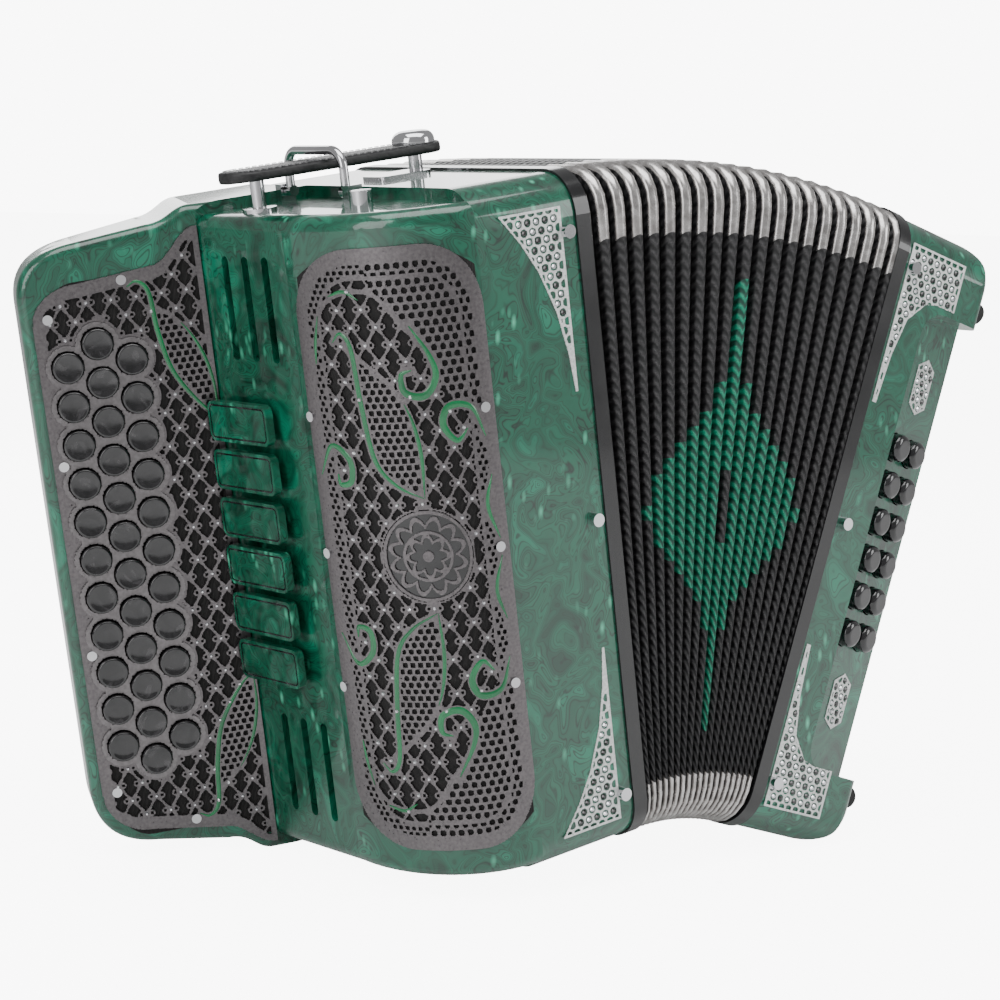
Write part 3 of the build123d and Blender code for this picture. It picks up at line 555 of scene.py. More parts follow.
def cut_sheet(name, field, surface, across, up, step, lift, thickness, paint):
    """A pierced sheet: grid cells where the field is positive, with edge points moved onto its zero line."""
    s, t = np.meshgrid(np.arange(across[0], across[1] + step, step), np.arange(up[0], up[1] + step, step))
    for _ in range(2):
        value = field(s, t)
        small = 0.05
        slope_s = (field(s + small, t) - field(s - small, t)) / (2 * small)
        slope_t = (field(s, t + small) - field(s, t - small)) / (2 * small)
        steep = np.maximum(slope_s ** 2 + slope_t ** 2, 0.2)
        near = np.abs(value) < 0.5 * step * np.sqrt(steep)
        s = s - np.where(near, np.clip(value * slope_s / steep, -0.5 * step, 0.5 * step), 0)
        t = t - np.where(near, np.clip(value * slope_t / steep, -0.5 * step, 0.5 * step), 0)
    value = field(s, t)
    on_edge = np.abs(value) < 0.12
    corners = np.stack([value[:-1, :-1], value[:-1, 1:], value[1:, 1:], value[1:, :-1]])
    edged = np.stack([on_edge[:-1, :-1], on_edge[:-1, 1:], on_edge[1:, 1:], on_edge[1:, :-1]])
    keep = ((corners > 0) | edged).all(0) & (corners.mean(0) > 0)
    index = np.arange(s.size).reshape(s.shape)
    faces = np.stack([index[:-1, :-1], index[:-1, 1:], index[1:, 1:], index[1:, :-1]], -1)[keep]
    used, renumbered = np.unique(faces, return_inverse=True)
    points = surface(s, t, lift).reshape(-1, 3)[used]
    mesh = bpy.data.meshes.new(name)
    rising = (surface(s, t, lift + 1) - surface(s, t, lift)).reshape(-1, 3)[used].mean(0)
    mesh.from_pydata(points.tolist(), [], facing_out(points, renumbered.reshape(-1, 4), rising).tolist())
    mesh.materials.append(paint)
    piece = bpy.data.objects.new(name, mesh)
    bpy.context.scene.collection.objects.link(piece)
    wall = piece.modifiers.new("thickness", "SOLIDIFY")
    wall.thickness = thickness * MM
    wall.offset = -1
    return piece


upper_leaf_left = smooth_line([(-28.5, 100), (-24, 104), (-19.5, 97), (-17.6, 72), (-14, 46), (-5.5, 34),
                               (7, 27)])
upper_leaf_right = smooth_line([(-17.6, 94), (-3.3, 80), (4.5, 66.5), (8, 48), (7.5, 27)])
arch = smooth_line([(-41, 55), (-40, 92), (-30, 118), (-8, 122), (6, 106), (14, 96)])
scroll_top = [(9, 106), (17, 92), (19, 82), (13, 74), (4, 76), (3, 84), (8, 86)]
scroll_side = [(41, 52), (35, 66), (24, 68), (20, 60), (26, 52), (32, 57)]
scroll_low = [(-44, 38), (-36, 52), (-27, 46), (-27, 36), (-33, 34), (-34, 39)]
tail_side = [(43, 4), (38, 20), (42, 34)]


def inside_leaf(s, t):
    """Positive between the two edges of the upper leaf, which a mirrored copy repeats below the rosette."""
    left = np.interp(t, upper_leaf_left[:9:-1, 1], upper_leaf_left[:9:-1, 0])
    right_edge = np.interp(t, upper_leaf_right[::-1, 1], upper_leaf_right[::-1, 0])
    return np.minimum(np.minimum(s - left, right_edge - s), np.minimum(t - 27, 95 - t))


def right_panel(s, t):
    """Positive in the honeycomb panel at the plate's top right."""
    return np.minimum(s - np.interp(t, [60, 74, 96, 122, 142], [34, 24, 12, -6, -12]), t - 62)


def grille_field(s, t):
    """The pierced grille, positive in the metal. The part below the rosette mirrors the part above it."""
    up = np.abs(t)
    edge = rounded_box(s, t, grille_half_width, grille_half_height, grille_corner)
    lattice = flower_lattice(s, t, lattice_across, lattice_rise)
    leaf = inside_leaf(s, up)
    panel = right_panel(s, up)
    metal = np.where(leaf > 0, honeycomb(s, t, 3.7, 1.15), lattice)
    metal = np.where(panel > 0, honeycomb(s, t, 4.4, 1.5), metal)
    metal = np.where((edge < 13) & (panel <= 0), np.maximum(honeycomb(s, t, 3.3, 1.2), -1), metal)
    metal = np.maximum(metal, 0.8 - np.abs(edge - 13.4))
    for line, width in ((upper_leaf_left, 1.9), (upper_leaf_right, 1.2), (arch, 1.1)):
        metal = np.maximum(metal, width - from_line(s, up, line))
    for points in (scroll_top, scroll_side, scroll_low, tail_side):
        metal = np.maximum(metal, 2.3 - from_line(s, up, smooth_line(points, 20)))
    from_middle = np.hypot(s - rosette_s, t)
    ring = np.minimum(rosette_outer - from_middle, from_middle - rosette_inner)
    metal = np.where(from_middle < rosette_outer, np.maximum(ring, -1), metal)
    metal = np.where(from_middle < rosette_inner, from_middle - 25, metal)
    return np.minimum(np.maximum(metal, plain_border - edge), edge)


grille = cut_sheet("grille_fretwork", grille_field, on_grille, (-49, 49), (-143, 143),
                   0.62, 0.0, 0.9, gunmetal)
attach(grille, "treble")
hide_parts("grille_plate")


def woven(name, colour, dark, scale):
    """A fine plain weave of crossed sine waves."""
    paint, tree, shader = new_paint(name, roughness=0.8)
    split = node_of(tree, "ShaderNodeSeparateXYZ")
    tree.links.new(node_of(tree, "ShaderNodeTexCoord").outputs["Object"], split.inputs[0])
    warp = maths(tree, "ADD", split.outputs[0], split.outputs[2])
    weft = maths(tree, "SUBTRACT", split.outputs[1], split.outputs[2])
    first, second = (maths(tree, "SINE", maths(tree, "MULTIPLY", thread, scale)) for thread in (warp, weft))
    cross = maths(tree, "ADD", maths(tree, "MULTIPLY", maths(tree, "MULTIPLY", first, second), 0.5), 0.5)
    tree.links.new(ramp_of(tree, cross, [(0.2, dark), (0.8, colour)]), shader.inputs["Base Color"])
    bumped(tree, shader, cross, 0.5, 0.0004)
    return paint


sound_cloth = woven("sound_cloth", (0.014, 0.012, 0.012), (0.004, 0.004, 0.004), 5200)
s_grid, t_grid = np.meshgrid(np.linspace(-46, 46, 24), np.linspace(-140, 140, 3))
cloth_corner = np.clip((np.abs(s_grid) - 16) / 32, 0, 1) ** 2
t_cloth = np.sign(t_grid) * (np.abs(t_grid) - np.where(np.abs(t_grid) > 100, 12 * cloth_corner, 0))
grille_out = (on_grille(0, 0, 1.0) - on_grille(0, 0, 0.0)).reshape(3)
grille_cloth = grid_mesh("grille_cloth", on_grille(s_grid, t_cloth, -1.1), (sound_cloth,), toward=grille_out)
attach(grille_cloth, "treble")
enamel = grained("green_enamel", (0.0, 0.2, 0.06), (0.0, 0.13, 0.04), 60, 0.25, coat=0.7, bump=0.02)
stone_paint = grained("clear_stone", (0.9, 0.9, 0.92), (0.6, 0.6, 0.64), 900, 0.06, metallic=0.8, bump=0.0)


def ribbon(line, widths, surface, lift, rise, paint):
    """A strip along a curve on a surface: its width swells as given, and its section is a low arch."""
    tangent = np.gradient(line, axis=0)
    tangent /= np.linalg.norm(tangent, axis=1, keepdims=True) + 1e-9
    side = np.stack([-tangent[:, 1], tangent[:, 0]], 1)
    across = np.linspace(-1, 1, 7)
    spots = line[:, None, :] + side[:, None, :] * (across[None, :, None] * widths[:, None, None])
    arched = lift + rise * (1 - across[None, :] ** 2) + 0 * spots[..., 0]
    points = surface(spots[..., 0], spots[..., 1], arched)
    rising = (surface(*line[len(line) // 2], 1.0) - surface(*line[len(line) // 2], 0.0)).reshape(3)
    return grid_mesh("strip", points, (paint,), toward=rising)


def joined(name, pieces, body):
    """Several pieces made one object that rides on a body."""
    bpy.ops.object.select_all(action="DESELECT")
    for piece in pieces:
        piece.select_set(True)
    bpy.context.view_layer.objects.active = pieces[0]
    if len(pieces) > 1:
        bpy.ops.object.join()
    whole = bpy.context.view_layer.objects.active
    whole.name = name
    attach(whole, body)
    return whole


def swelling(count, most, tip=0.15):
    """Half widths along a strip that grows from one thin tip and thins to the other."""
    return most * (tip + (1 - tip) * np.sin(pi * np.linspace(0, 1, count)) ** 0.8)


strips = []
for flip in (1, -1):
    for number, (points, most) in enumerate((
            (upper_leaf_left, 1.15), (upper_leaf_right[20:], 0.9), (smooth_line(scroll_top, 40), 1.7),
            (smooth_line(scroll_side, 40), 1.7), (smooth_line(scroll_low, 40), 1.5),
            (smooth_line(tail_side, 16), 1.0), (smooth_line([(-35, 112), (-38, 100), (-39, 90)], 12), 0.8),
            (smooth_line([(-28, 121), (-20, 123), (-13, 119)], 12), 0.8))):
        line = points * np.array([1, flip])
        strips.append(ribbon(line, swelling(len(line), most), on_grille, 0.05, 0.35, enamel))
joined("grille_enamel", strips, "treble")


def studs(name, s, t, surface, radius, lift, paint, body):
    """Cut stones: a six sided cone frustum with a flat table, one at each place, in one mesh."""
    ring = np.arange(6) * pi / 3
    levels = ((radius, lift), (radius, lift + 0.3 * radius), (0.55 * radius, lift + 0.9 * radius))
    rings = [surface(s[:, None] + size * np.cos(ring), t[:, None] + size * np.sin(ring),
                     height + 0 * s[:, None] + 0 * ring) for size, height in levels]
    points = np.concatenate(rings, axis=1).reshape(-1, 3)
    inner, outer = rings[0][0], rings[2][0]
    mirrored = np.cross(inner[1] - inner[0], inner[2] - inner[1]) @ (outer.mean(0) - inner.mean(0)) < 0
    base = np.arange(len(s))[:, None] * 18
    near = np.arange(6)
    quads = [np.stack([base + near + 6 * k, base + (near + 1) % 6 + 6 * k, base + (near + 1) % 6 + 6 * k + 6,
                       base + near + 6 * k + 6], -1).reshape(-1, 4) for k in (0, 1)]
    tops = (base + 12 + near[None, :]).tolist()
    bottoms = (base + near[None, ::-1]).tolist()
    mesh = bpy.data.meshes.new(name)
    faces = np.concatenate(quads).tolist() + tops + bottoms
    mesh.from_pydata(points.tolist(), [], [face[::-1] for face in faces] if mirrored else faces)
    mesh.materials.append(paint)
    piece = bpy.data.objects.new(name, mesh)
    bpy.context.scene.collection.objects.link(piece)
    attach(piece, body)
    return piece


def lattice_places(across, rise, half_s, half_t):
    """The flower centres of the lattice."""
    rows = np.arange(-int(half_t / rise), int(half_t / rise) + 1)
    spots = [(column * across + (0 if row % 2 == 0 else across / 2), row * rise)
             for row in rows for column in range(-12, 12)]
    spots = np.array(spots)
    return spots[(np.abs(spots[:, 0]) < half_s) & (np.abs(spots[:, 1]) < half_t)]


spots = lattice_places(lattice_across, lattice_rise, 47, 140)
keep = (rounded_box(spots[:, 0], spots[:, 1], grille_half_width, grille_half_height, grille_corner) > 14) \
    & (inside_leaf(spots[:, 0], np.abs(spots[:, 1])) < 0) \
    & (right_panel(spots[:, 0], np.abs(spots[:, 1])) < 0) \
    & (np.hypot(spots[:, 0] - rosette_s, spots[:, 1]) > 24)
studs("grille_stones", spots[keep, 0], spots[keep, 1], on_grille, 1.0, 0.0, stone_paint, "treble")


def rosette(s, t):
    """A generic twelve petal rosette in two rings, positive in the metal."""
    away, turn = np.hypot(s - rosette_s, t), np.arctan2(t, s - rosette_s)
    petals = 1.1 - np.abs(away - 13.5 - 4.5 * np.abs(np.sin(6 * turn)))
    inner = 0.9 - np.abs(away - 6.5 - 3.2 * np.abs(np.cos(4 * turn)))
    rings = np.maximum(0.8 - np.abs(away - 20.6), 0.7 - np.abs(away - 11.2))
    return np.maximum(np.maximum(petals, inner), np.maximum(rings, 2.6 - away))


rose = cut_sheet("grille_rosette", rosette, on_grille, (-16, 28), (-22, 22), 0.45,
                 0.15, 0.8, gunmetal)
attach(rose, "treble")
rose_back = grid_mesh("grille_rosette_back", on_grille(6 + np.linspace(0, 21, 4)[:, None] * np.cos(
    np.linspace(0, 2 * pi, 49))[None, :-1], np.linspace(0, 21, 4)[:, None] * np.sin(
    np.linspace(0, 2 * pi, 49))[None, :-1], -0.6), (gloss_black,), wrap=True, toward=grille_out)
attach(rose_back, "treble")


# ---- Button plate: etched gunmetal on the wing, with a scalloped surround for the caps ----
# The same lattice and honeycomb as the grille, cut in a flat sheet with a plain rim, and a thicker scalloped
# surround screwed over it. Every cap rises through a round hole in both.
panel_lean, panel_length, fingerboard_setback, fingerboard_angle = 5.5, 66.5, 0.3, 21.0
panel_end_x = -treble_width - cover_bulge - panel_length * sin(radians(panel_lean))
panel_end_y = cover_round + panel_length * cos(radians(panel_lean))
wing_turn = radians(fingerboard_angle)
plate_width, plate_sheet, surround_sheet = 83.0, 1.5, 1.2
button_pitch, column_pitch, button_inset = 18.8, 15.2, 39.2
plate_top, plate_bottom = casing_height / 2 - 26, -casing_height / 2 + 17
columns = (("inner", button_inset, 11), ("middle", button_inset + column_pitch, 12),
           ("outer", button_inset + 2 * column_pitch, 11))


def on_wing(u, v, lift):
    """A point of the wing's face: u mm outwards from the cover, v mm up, and a lift."""
    x = panel_end_x - u * cos(wing_turn) - lift * sin(wing_turn)
    y = panel_end_y + fingerboard_setback + u * sin(wing_turn) - lift * cos(wing_turn)
    return place(treble, x, y, middle + v)


def eased(value, low, high):
    """A smooth step from 0 at the low value to 1 at the high one."""
    share = np.clip((value - low) / (high - low), 0, 1)
    return share * share * (3 - 2 * share)


def plate_edge(u, v):
    """Roughly how far a place is inside the button plate's outline."""
    corner = np.clip((u - 61) / 22, 0, 1)
    high = plate_top + 16 * (1 - eased(u, 2, 24)) - 4 * np.clip((u - 24) / 37, 0, 1) \
        - 18 * (1 - np.sqrt(1 - np.minimum(corner, 0.999) ** 2))
    low = plate_bottom - 12 * (1 - eased(u, 2, 24)) + 6 * np.clip((u - 24) / 37, 0, 1) \
        + 22 * (1 - np.sqrt(1 - np.minimum(corner, 0.999) ** 2))
    return np.minimum(np.minimum(u - 0.3, plate_width - u), np.minimum(high - v, v - low) * 0.85)


def from_buttons(u, v):
    """Distance to the nearest button's centre."""
    away = np.full(np.shape(u), 1e9)
    for _, column_u, count in columns:
        offset = 0 if count % 2 else button_pitch / 2
        reach = (count - 1) / 2 * button_pitch
        nearest = np.clip(np.round((v - offset) / button_pitch) * button_pitch + offset, -reach, reach)
        away = np.minimum(away, np.hypot(u - column_u, v - nearest))
    return away


wing_leaf_left = smooth_line([(37, 132), (32, 134), (27, 128), (25, 108), (20, 88), (8, 70), (1.5, 66)])
wing_leaf_right = smooth_line([(26, 122), (14, 112), (6, 98), (2, 82), (1.5, 66)])


def wing_field(u, v):
    """The pierced button plate, positive in the metal, with its lower part a mirror of its upper part."""
    up = np.abs(v + 4)
    edge = plate_edge(u, v)
    left = np.interp(up, wing_leaf_left[:12:-1, 1], wing_leaf_left[:12:-1, 0])
    inner = np.interp(up, wing_leaf_right[::-1, 1], wing_leaf_right[::-1, 0])
    leaf = np.minimum(np.minimum(left - u, u - inner), np.minimum(up - 66, 122 - up))
    lattice = flower_lattice(u - 3, v, lattice_across, lattice_rise)
    metal = np.where(leaf > 0, honeycomb(u, v, 3.7, 1.15), lattice)
    metal = np.maximum(metal, 1.5 - from_line(u, up, wing_leaf_left))
    metal = np.maximum(metal, 1.0 - from_line(u, up, wing_leaf_right))
    rim_width = 5.5 - 3.2 * (1 - eased(u, 0, 14))
    away = from_buttons(u, v)
    metal = np.maximum(metal, np.maximum(rim_width - edge, 8.6 + 3 - away))
    return np.minimum(np.minimum(metal, edge), away - 8.0)


def surround_field(u, v):
    """The scalloped surround, positive in the metal: discs round the holes, with a groove along the edge."""
    away = from_buttons(u, v)
    reach = button_pitch * 4.9
    core = np.minimum(column_pitch - np.abs(u - button_inset - column_pitch), reach - np.abs(v)) + 1.5
    return np.minimum(np.maximum(10.4 - away, core), away - 7.9)


button_sheet = cut_sheet("button_plate_fretwork", wing_field, on_wing, (0, 84), (-160, 155),
                         0.62, plate_sheet, 1.4, gunmetal)
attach(button_sheet, "treble")
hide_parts("button_plate")
surround_steel = grained("surround_steel", (0.25, 0.235, 0.24), (0.19, 0.178, 0.182), 500, 0.34, metallic=0.8,
                         bump=0.03)
surround = cut_sheet("button_surround", surround_field, on_wing, (25, 84), (-116, 116),
                     0.85, plate_sheet + surround_sheet, 1.15, surround_steel)
bevel = surround.modifiers.new("soft_edge", "BEVEL")
bevel.width, bevel.segments, bevel.limit_method = 0.00025, 2, "ANGLE"
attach(surround, "treble")
u_grid, v_grid = np.meshgrid(np.linspace(1, 80, 20), np.linspace(-1, 1, 30))
cloth_high = plate_top - 3 + 15 * (1 - eased(u_grid, 2, 24)) - 14 * np.clip((u_grid - 61) / 20, 0, 1) ** 2
cloth_low = plate_bottom + 3 - 11 * (1 - eased(u_grid, 2, 24)) + 18 * np.clip((u_grid - 61) / 20, 0, 1) ** 2
v_cloth = np.where(v_grid > 0, v_grid * cloth_high, -v_grid * cloth_low)
wing_out = (on_wing(0, 0, 1.0) - on_wing(0, 0, 0.0)).reshape(3)
wing_cloth = grid_mesh("button_plate_cloth", on_wing(u_grid, v_cloth, 0.12), (sound_cloth,), toward=wing_out)
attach(wing_cloth, "treble")
strips = []
for flip in (1, -1):
    for line, most in ((wing_leaf_left, 1.1), (wing_leaf_right[12:], 0.8)):
        shifted = line * np.array([1, flip]) - np.array([0, 4])
        strips.append(ribbon(shifted, swelling(len(line), most), on_wing, plate_sheet + 0.05, 0.3, enamel))
joined("button_plate_enamel", strips, "treble")
spots = lattice_places(lattice_across, lattice_rise, 90, 155) + np.array([3, 0])
clear = (plate_edge(spots[:, 0], spots[:, 1]) > 6.5) & (from_buttons(spots[:, 0], spots[:, 1]) > 12.5)
up = np.abs(spots[:, 1] + 4)
in_leaf = (spots[:, 0] < np.interp(up, wing_leaf_left[:12:-1, 1], wing_leaf_left[:12:-1, 0])) \
    & (up > 66) & (up < 122) \
    & (spots[:, 0] > np.interp(up, wing_leaf_right[::-1, 1], wing_leaf_right[::-1, 0]))
spots = spots[clear & ~in_leaf]
studs("button_plate_stones", spots[:, 0], spots[:, 1], on_wing, 0.95, plate_sheet - 0.1, stone_paint,
      "treble")

# ---- Treble buttons: dished black pearl caps ----
# Turned from black pearl plastic, each with a rounded rim and a shallow dish, on a stem that presses a lever.


def lathe(name, radii, heights, surface_at, segments=28, paints=()):
    """A profile of radii and heights turned about an axis; surface_at places (across, up, lift)."""
    turn = np.linspace(0, 2 * pi, segments, endpoint=False)
    radii, heights = np.array(radii, float)[:, None], np.array(heights, float)[:, None]
    points = surface_at(radii * np.cos(turn), radii * np.sin(turn), heights + 0 * turn)
    return grid_mesh(name, points, paints, wrap=True)


black_pearl, tree, shader = new_paint("black_pearl", roughness=0.16, coat=1.0, coat_roughness=0.03)
pearl_noise = node_of(tree, "ShaderNodeTexNoise")
pearl_noise.inputs["Scale"].default_value = 75
pearl_noise.inputs["Distortion"].default_value = 2.2
tree.links.new(node_of(tree, "ShaderNodeTexCoord").outputs["Object"], pearl_noise.inputs["Vector"])
pearl_tone = ramp_of(tree, pearl_noise.outputs["Fac"],
                     [(0.42, (0.002, 0.002, 0.003)), (0.5, (0.014, 0.013, 0.015)),
                      (0.56, (0.004, 0.004, 0.005)), (0.66, (0.035, 0.033, 0.036))])
tree.links.new(pearl_tone, shader.inputs["Base Color"])
cap_front = plate_sheet + surround_sheet + 3.4
cap_radii = (0.01, 2.4, 4.4, 5.5, 6.1, 6.6, 7.1, 7.35, 7.4, 7.4, 0.01)
cap_heights = (-0.75, -0.7, -0.5, -0.22, 0.02, 0.1, -0.05, -0.45, -1.0, -5.5, -5.5)
for label, column_u, count in columns:
    caps = []
    for number in range(count):
        v = (number - (count - 1) / 2) * button_pitch
        caps.append(lathe("cap", cap_radii, cap_heights, lambda a, b, lift, v=v, u=column_u:
                          on_wing(u + a, v + b, cap_front + lift), paints=(black_pearl,)))
    whole = joined(f"treble_caps_{label}", caps, f"treble_buttons_{label}")
    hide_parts(f"treble_buttons_{label}")


# ---- Stone panels on the casings' fronts ----
# Thin white metal plates with rows of hexagonal cells, each of which holds a black or a clear stone. Two long
# triangles sit on the treble casing and two angled strips on the bass casing, straight on the pearl.
white_metal = grained("white_metal", (0.85, 0.86, 0.85), (0.62, 0.64, 0.63), 800, 0.3, metallic=0.35,
                      bump=0.05)
black_stone = grained("black_stone", (0.02, 0.018, 0.02), (0.005, 0.005, 0.005), 500, 0.08, coat=1.0,
                      bump=0.0)
cell_pitch = 5.0


def on_treble_front(s, t, lift):
    """A point of the treble casing's front: s mm from the bellows, t mm up from the middle, and a lift."""
    return place(treble, -np.asarray(s, float), -np.asarray(lift, float), middle + np.asarray(t, float))


def on_bass_front(s, t, lift):
    """A point of the bass casing's front: s mm from the bellows, t mm up from the middle, and a lift."""
    return place(bass, np.asarray(s, float), -np.asarray(lift, float), middle + np.asarray(t, float))


def treble_panel(s, t):
    """Positive inside the long triangle with its concave side, for the top and, mirrored, the bottom."""
    up = np.abs(t)
    hollow = np.interp(up, [62, 80, 100, 120, 134, 147.8], [9.5, 11.5, 16, 24, 32.5, 43.4])
    return np.minimum(np.minimum(s - 8.2, hollow - s) * 0.9, np.minimum(148 - up, up - 62))


def bass_panel_shape(s, t):
    """Positive inside the angled strip at the top and, mirrored, the bottom of the bass front."""
    up = np.abs(t)
    hollow = np.interp(up, [64, 90, 110, 121, 126, 149], [5.5, 7.5, 12, 22, 40, 43.8])
    hollow = np.where(up > 123, 43.6, hollow)
    return np.minimum(np.minimum(s - 2.7, hollow - s) * 0.9, np.minimum(148.6 - up, up - 64))


def stone_panel(name, shape, surface, across, up, body):
    """A white pierced plate and its stones, cut from one outline."""
    def field(s, t):
        inside = shape(s, t)
        return np.minimum(np.maximum(honeycomb(s, t, cell_pitch, 1.1), 1.1 - inside), inside)
    plate = cut_sheet(name, field, surface, across, up, 0.5, 0.45, 0.4, white_metal)
    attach(plate, body)
    rise = cell_pitch * 0.866
    spots = np.array([(column * cell_pitch + (0 if row % 2 == 0 else cell_pitch / 2), row * rise, column, row)
                      for row in range(int(up[0] / rise), int(up[1] / rise) + 1)
                      for column in range(int(across[0] / cell_pitch) - 1, int(across[1] / cell_pitch) + 1)])
    spots = spots[shape(spots[:, 0], spots[:, 1]) > 1.9]
    dark = (spots[:, 2] + spots[:, 3] // 2 + spots[:, 3]) % 2 == 0
    for label, chosen, paint in (("black", dark, black_stone), ("clear", ~dark, stone_paint)):
        studs(f"{name}_{label}_stones", spots[chosen, 0], spots[chosen, 1], surface, 1.35, 0.03, paint, body)


stone_panel("treble_stone_panels", treble_panel, on_treble_front, (7, 45), (-149, 149), "treble")
stone_panel("bass_stone_panels", bass_panel_shape, on_bass_front, (2, 45), (-149, 149), "bass")


# ---- Closure strap: stitched black leather laid back over the treble casing ----
# A rounded leather strap, held by a chrome dome at one end and a stud at its tip, with a line of grey thread.
closure_length, closure_width, closure_thickness, closure_y, closure_lift = 121.0, 26.0, 5.5, 105.5, 9.5
strap_bottom = casing_base + casing_height + closure_lift
grey_thread = grained("grey_thread", (0.32, 0.32, 0.33), (0.16, 0.16, 0.17), 1800, 0.7, bump=0.5)


def stitches(name, line, surface, length, half, lift, paint, body):
    """Short raised stitches along a curve on a surface: one low box for each, all in one mesh."""
    tangent = np.gradient(line, axis=0)
    tangent /= np.linalg.norm(tangent, axis=1, keepdims=True)
    side = np.stack([-tangent[:, 1], tangent[:, 0]], 1)
    signs = np.array([(-1, -1), (1, -1), (1, 1), (-1, 1)])
    flat = line[:, None] + tangent[:, None] * (signs[None, :, :1] * length / 2) + side[:, None] * (
        signs[None, :, 1:] * half)
    low = surface(flat[..., 0], flat[..., 1], lift + 0 * flat[..., 0])
    high = surface(flat[..., 0], flat[..., 1], lift + half + 0 * flat[..., 0])
    points = np.concatenate([low, high], axis=1).reshape(-1, 3)
    corner = np.arange(4)
    after = (corner + 1) % 4
    sides = np.stack([corner, after, after + 4, corner + 4], -1)
    one = np.concatenate([[corner[::-1], corner + 4], sides])
    faces = (np.arange(len(line))[:, None, None] * 8 + one[None]).reshape(-1, 4)
    if np.cross(low[0, 1] - low[0, 0], low[0, 2] - low[0, 1]) @ (high[0, 0] - low[0, 0]) < 0:
        faces = faces[:, ::-1]
    mesh = bpy.data.meshes.new(name)
    mesh.from_pydata(points.tolist(), [], faces.tolist())
    mesh.materials.append(paint)
    piece = bpy.data.objects.new(name, mesh)
    bpy.context.scene.collection.objects.link(piece)
    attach(piece, body)
    return piece


def on_strap_top(s, t, lift):
    """A point of the closure strap: s mm along from its middle, t mm across, a height over its underside."""
    return place(treble, np.asarray(s, float) - closure_length / 2, closure_y + np.asarray(t, float),
                 strap_bottom + np.asarray(lift, float))


def soft_section(half_wide, half_thick, turn):
    """A flat band's section with rounded edges: places round it as (across, up)."""
    wide, up = np.cos(turn), np.sin(turn)
    return (half_wide * np.sign(wide) * np.abs(wide) ** 0.35, half_thick * np.sign(up) * np.abs(up) ** 0.6)


strap_turn = np.linspace(0, 2 * pi, 40, endpoint=False)[None, :]
reach = np.sin(np.linspace(-pi / 2, pi / 2, 64))[:, None] * closure_length / 2
end_radius = closure_width / 2
past = np.maximum(np.abs(reach) - (closure_length / 2 - end_radius), 0)
half_wide = np.sqrt(np.maximum(end_radius ** 2 - past ** 2, 0.01))
thinned = closure_thickness / 2 * np.minimum(1, (half_wide / 5) ** 0.5)
across, up = soft_section(half_wide, thinned, strap_turn)
strap = grid_mesh("closure_strap_leather",
                  on_strap_top(reach + 0 * across, across, up + closure_thickness / 2), (leather,), wrap=True)
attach(strap, "treble")
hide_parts("closure_strap")
inner_radius = end_radius - 2.6
straight = closure_length / 2 - end_radius
bow = np.linspace(-pi / 2, pi / 2, 13)
run = np.linspace(-straight, straight, 27)[1:-1]
thread = np.concatenate([
    np.stack([straight + inner_radius * np.cos(bow), inner_radius * np.sin(bow)], 1),
    np.stack([run[::-1], 0 * run + inner_radius], 1),
    np.stack([-straight - inner_radius * np.cos(bow), -inner_radius * np.sin(bow)], 1),
    np.stack([run, 0 * run - inner_radius], 1)])
stitches("closure_strap_stitches", thread, on_strap_top, 2.3, 0.35, closure_thickness - 0.12, grey_thread,
         "treble")

# ---- Register switches and vents: painted bevel shade on the paddles and black behind the slots ----
# Each pearl paddle has a thin gloss black ring round its face, painted shade where a bevelled edge would fall
# dark. Black paper closes the cover's slots from inside.
register_pitch, register_length, register_height = 23.8, 47.0, 19.5
register_lift, register_sheet, register_setback = 4.5, 4.0, 1.0
panel_turn = radians(panel_lean)


def on_panel(u, v, lift):
    """A point of the cover's flat side: u mm to the front from the wing, v mm up, and a lift."""
    u, v, lift = (np.asarray(value, float) for value in (u, v, lift))
    return place(treble, panel_end_x + u * sin(panel_turn) - lift * cos(panel_turn),
                 panel_end_y - u * cos(panel_turn) - lift * sin(panel_turn), middle + v)


def oblong(half_wide, half_high, corner, count=24):
    """A rounded rectangle's outline as places, from quarter turns about its four corners."""
    quarter = np.linspace(0, pi / 2, count // 4)
    turns = np.concatenate([quarter + k * pi / 2 for k in range(4)])
    sign_s = np.repeat([1, -1, -1, 1], count // 4)
    sign_t = np.repeat([1, 1, -1, -1], count // 4)
    return np.stack([sign_s * (half_wide - corner) + corner * np.cos(turns),
                     sign_t * (half_high - corner) + corner * np.sin(turns)], 1)


panel_out = (on_panel(0, 0, 1) - on_panel(0, 0, 0)).reshape(3)
for number in range(6):
    height = (number - 2.5) * register_pitch
    rows = []
    for inset in (1.5, 2.3):
        line = oblong(register_length / 2 - inset, register_height / 2 - inset, 4 - inset)
        rows.append(on_panel(register_setback + register_length / 2 + line[:, 0], height + line[:, 1],
                             register_lift + register_sheet + 0.04))
    # painted shade: a thin black ring just over the paddle's face stands in for the dark band of a bevelled
    # edge
    outline = grid_mesh(f"register_painted_bevel_shade_{number + 1}", np.stack(rows), (gloss_black,), wrap=True,
                        toward=panel_out)
    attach(outline, f"register_switch_{number + 1}")
for label, side in (("upper", 1), ("lower", -1)):
    u_grid, v_grid = np.meshgrid(np.linspace(6, 40, 2), np.linspace(80, 145, 2) * side)
    lining = grid_mesh(f"vent_lining_{label}", on_panel(u_grid, v_grid, -4.6), (sound_cloth,),
                       toward=panel_out)
    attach(lining, "treble")


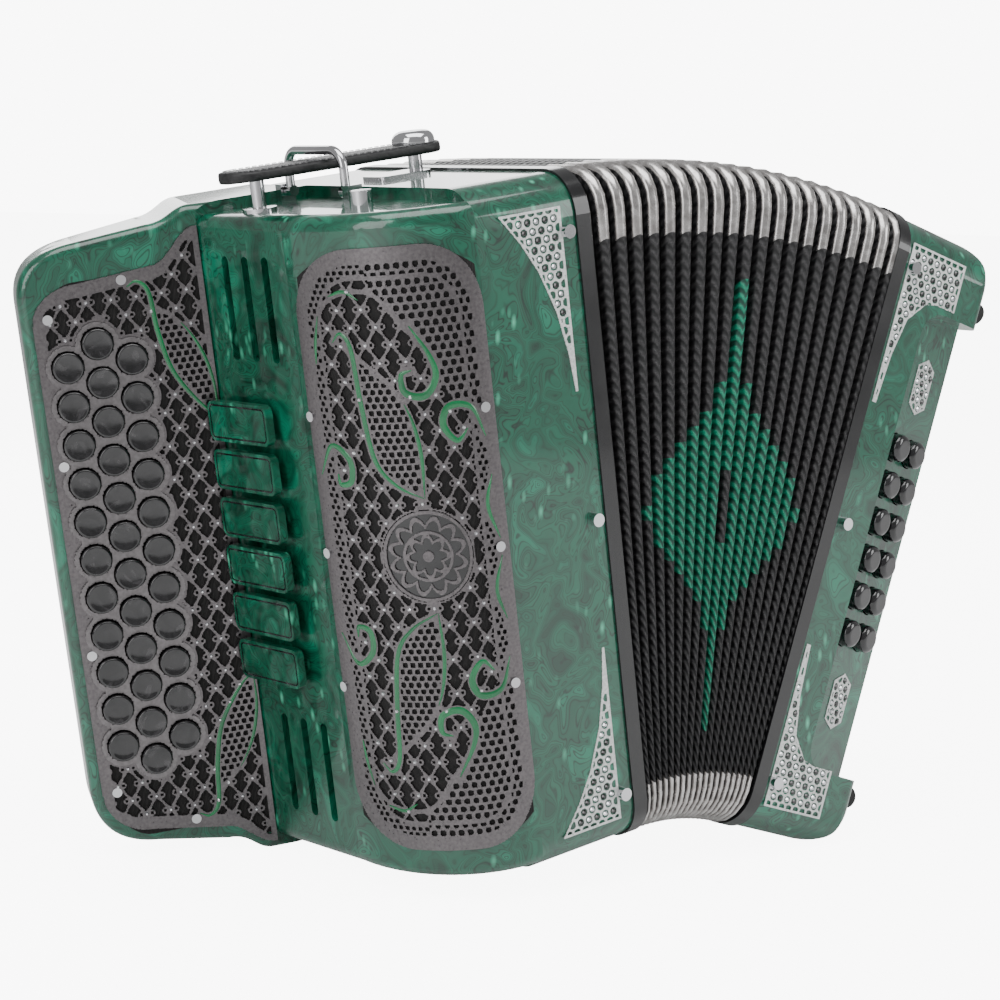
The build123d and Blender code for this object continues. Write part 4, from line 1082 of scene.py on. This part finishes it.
# ---- Bass recess: two long hexagons of stones on the slanted pearl floor ----
# The recess floor is slanted, and a pierced hexagon with stones lies at each end of the two rows of buttons.
recess_start, recess_step, recess_angle, recess_drop = 24.5, 5.0, radians(14.0), 2.5


def on_recess(s, t, lift):
    """A point of the recess floor: s mm from its edge by the bellows, t mm up from its middle, and a lift."""
    s, t, lift = (np.asarray(value, float) for value in (s, t, lift))
    return place(bass, recess_start + s * cos(recess_angle) + lift * sin(recess_angle),
                 recess_step + s * sin(recess_angle) - lift * cos(recess_angle), middle - recess_drop + t)


def recess_hexagons(s, t):
    """Positive inside the two long hexagons, the upper one and its mirror below."""
    along, up = np.abs(s - 21.0), np.abs(np.abs(t) - 85.0)
    return np.minimum(8.5 - along, (15.0 - up - along * 0.55) * 0.87)


stone_panel("recess_stone_panels", recess_hexagons, on_recess, (11, 31), (-102, 102), "bass")

# ---- Hand strap: a padded leather band across the bass end ----
# Leather sewn round a thin pad. It bows away from the casing to let the left hand through, and its flat ends
# are held by plates and screws.
bass_width, strap_y, strap_width, strap_thickness = 66.0, 112.0, 58.0, 5.0
strap_bow, strap_half, strap_tab = 34.0, 120.0, 18.0


def on_hand_strap(s, t, lift):
    """A point of the hand strap: s mm up from the middle, t mm across, and a lift from its middle layer."""
    s, t, lift = (np.asarray(value, float) for value in (s, t, lift))
    out = (strap_bow - strap_thickness) * np.maximum(1 - (s / (strap_half - strap_tab)) ** 2, 0)
    return place(bass, bass_width + strap_thickness / 2 + out + lift, strap_y + t, middle + s)


reach = np.linspace(-strap_half, strap_half, 97)[:, None]
full = np.maximum(1 - (reach / (strap_half - strap_tab)) ** 2, 0) ** 0.4
across, up = soft_section(strap_width / 2 - 0.4, strap_thickness / 2 * (0.9 + 0.25 * full), strap_turn)
closing = np.concatenate([[0.01], np.ones(len(reach) - 2), [0.01]])[:, None]
hand = grid_mesh("hand_strap_leather", on_hand_strap(reach + 0 * across, across * (0.99 + 0.01 * closing),
                                                     up * closing), (leather,), wrap=True)
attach(hand, "bass")
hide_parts("hand_strap")
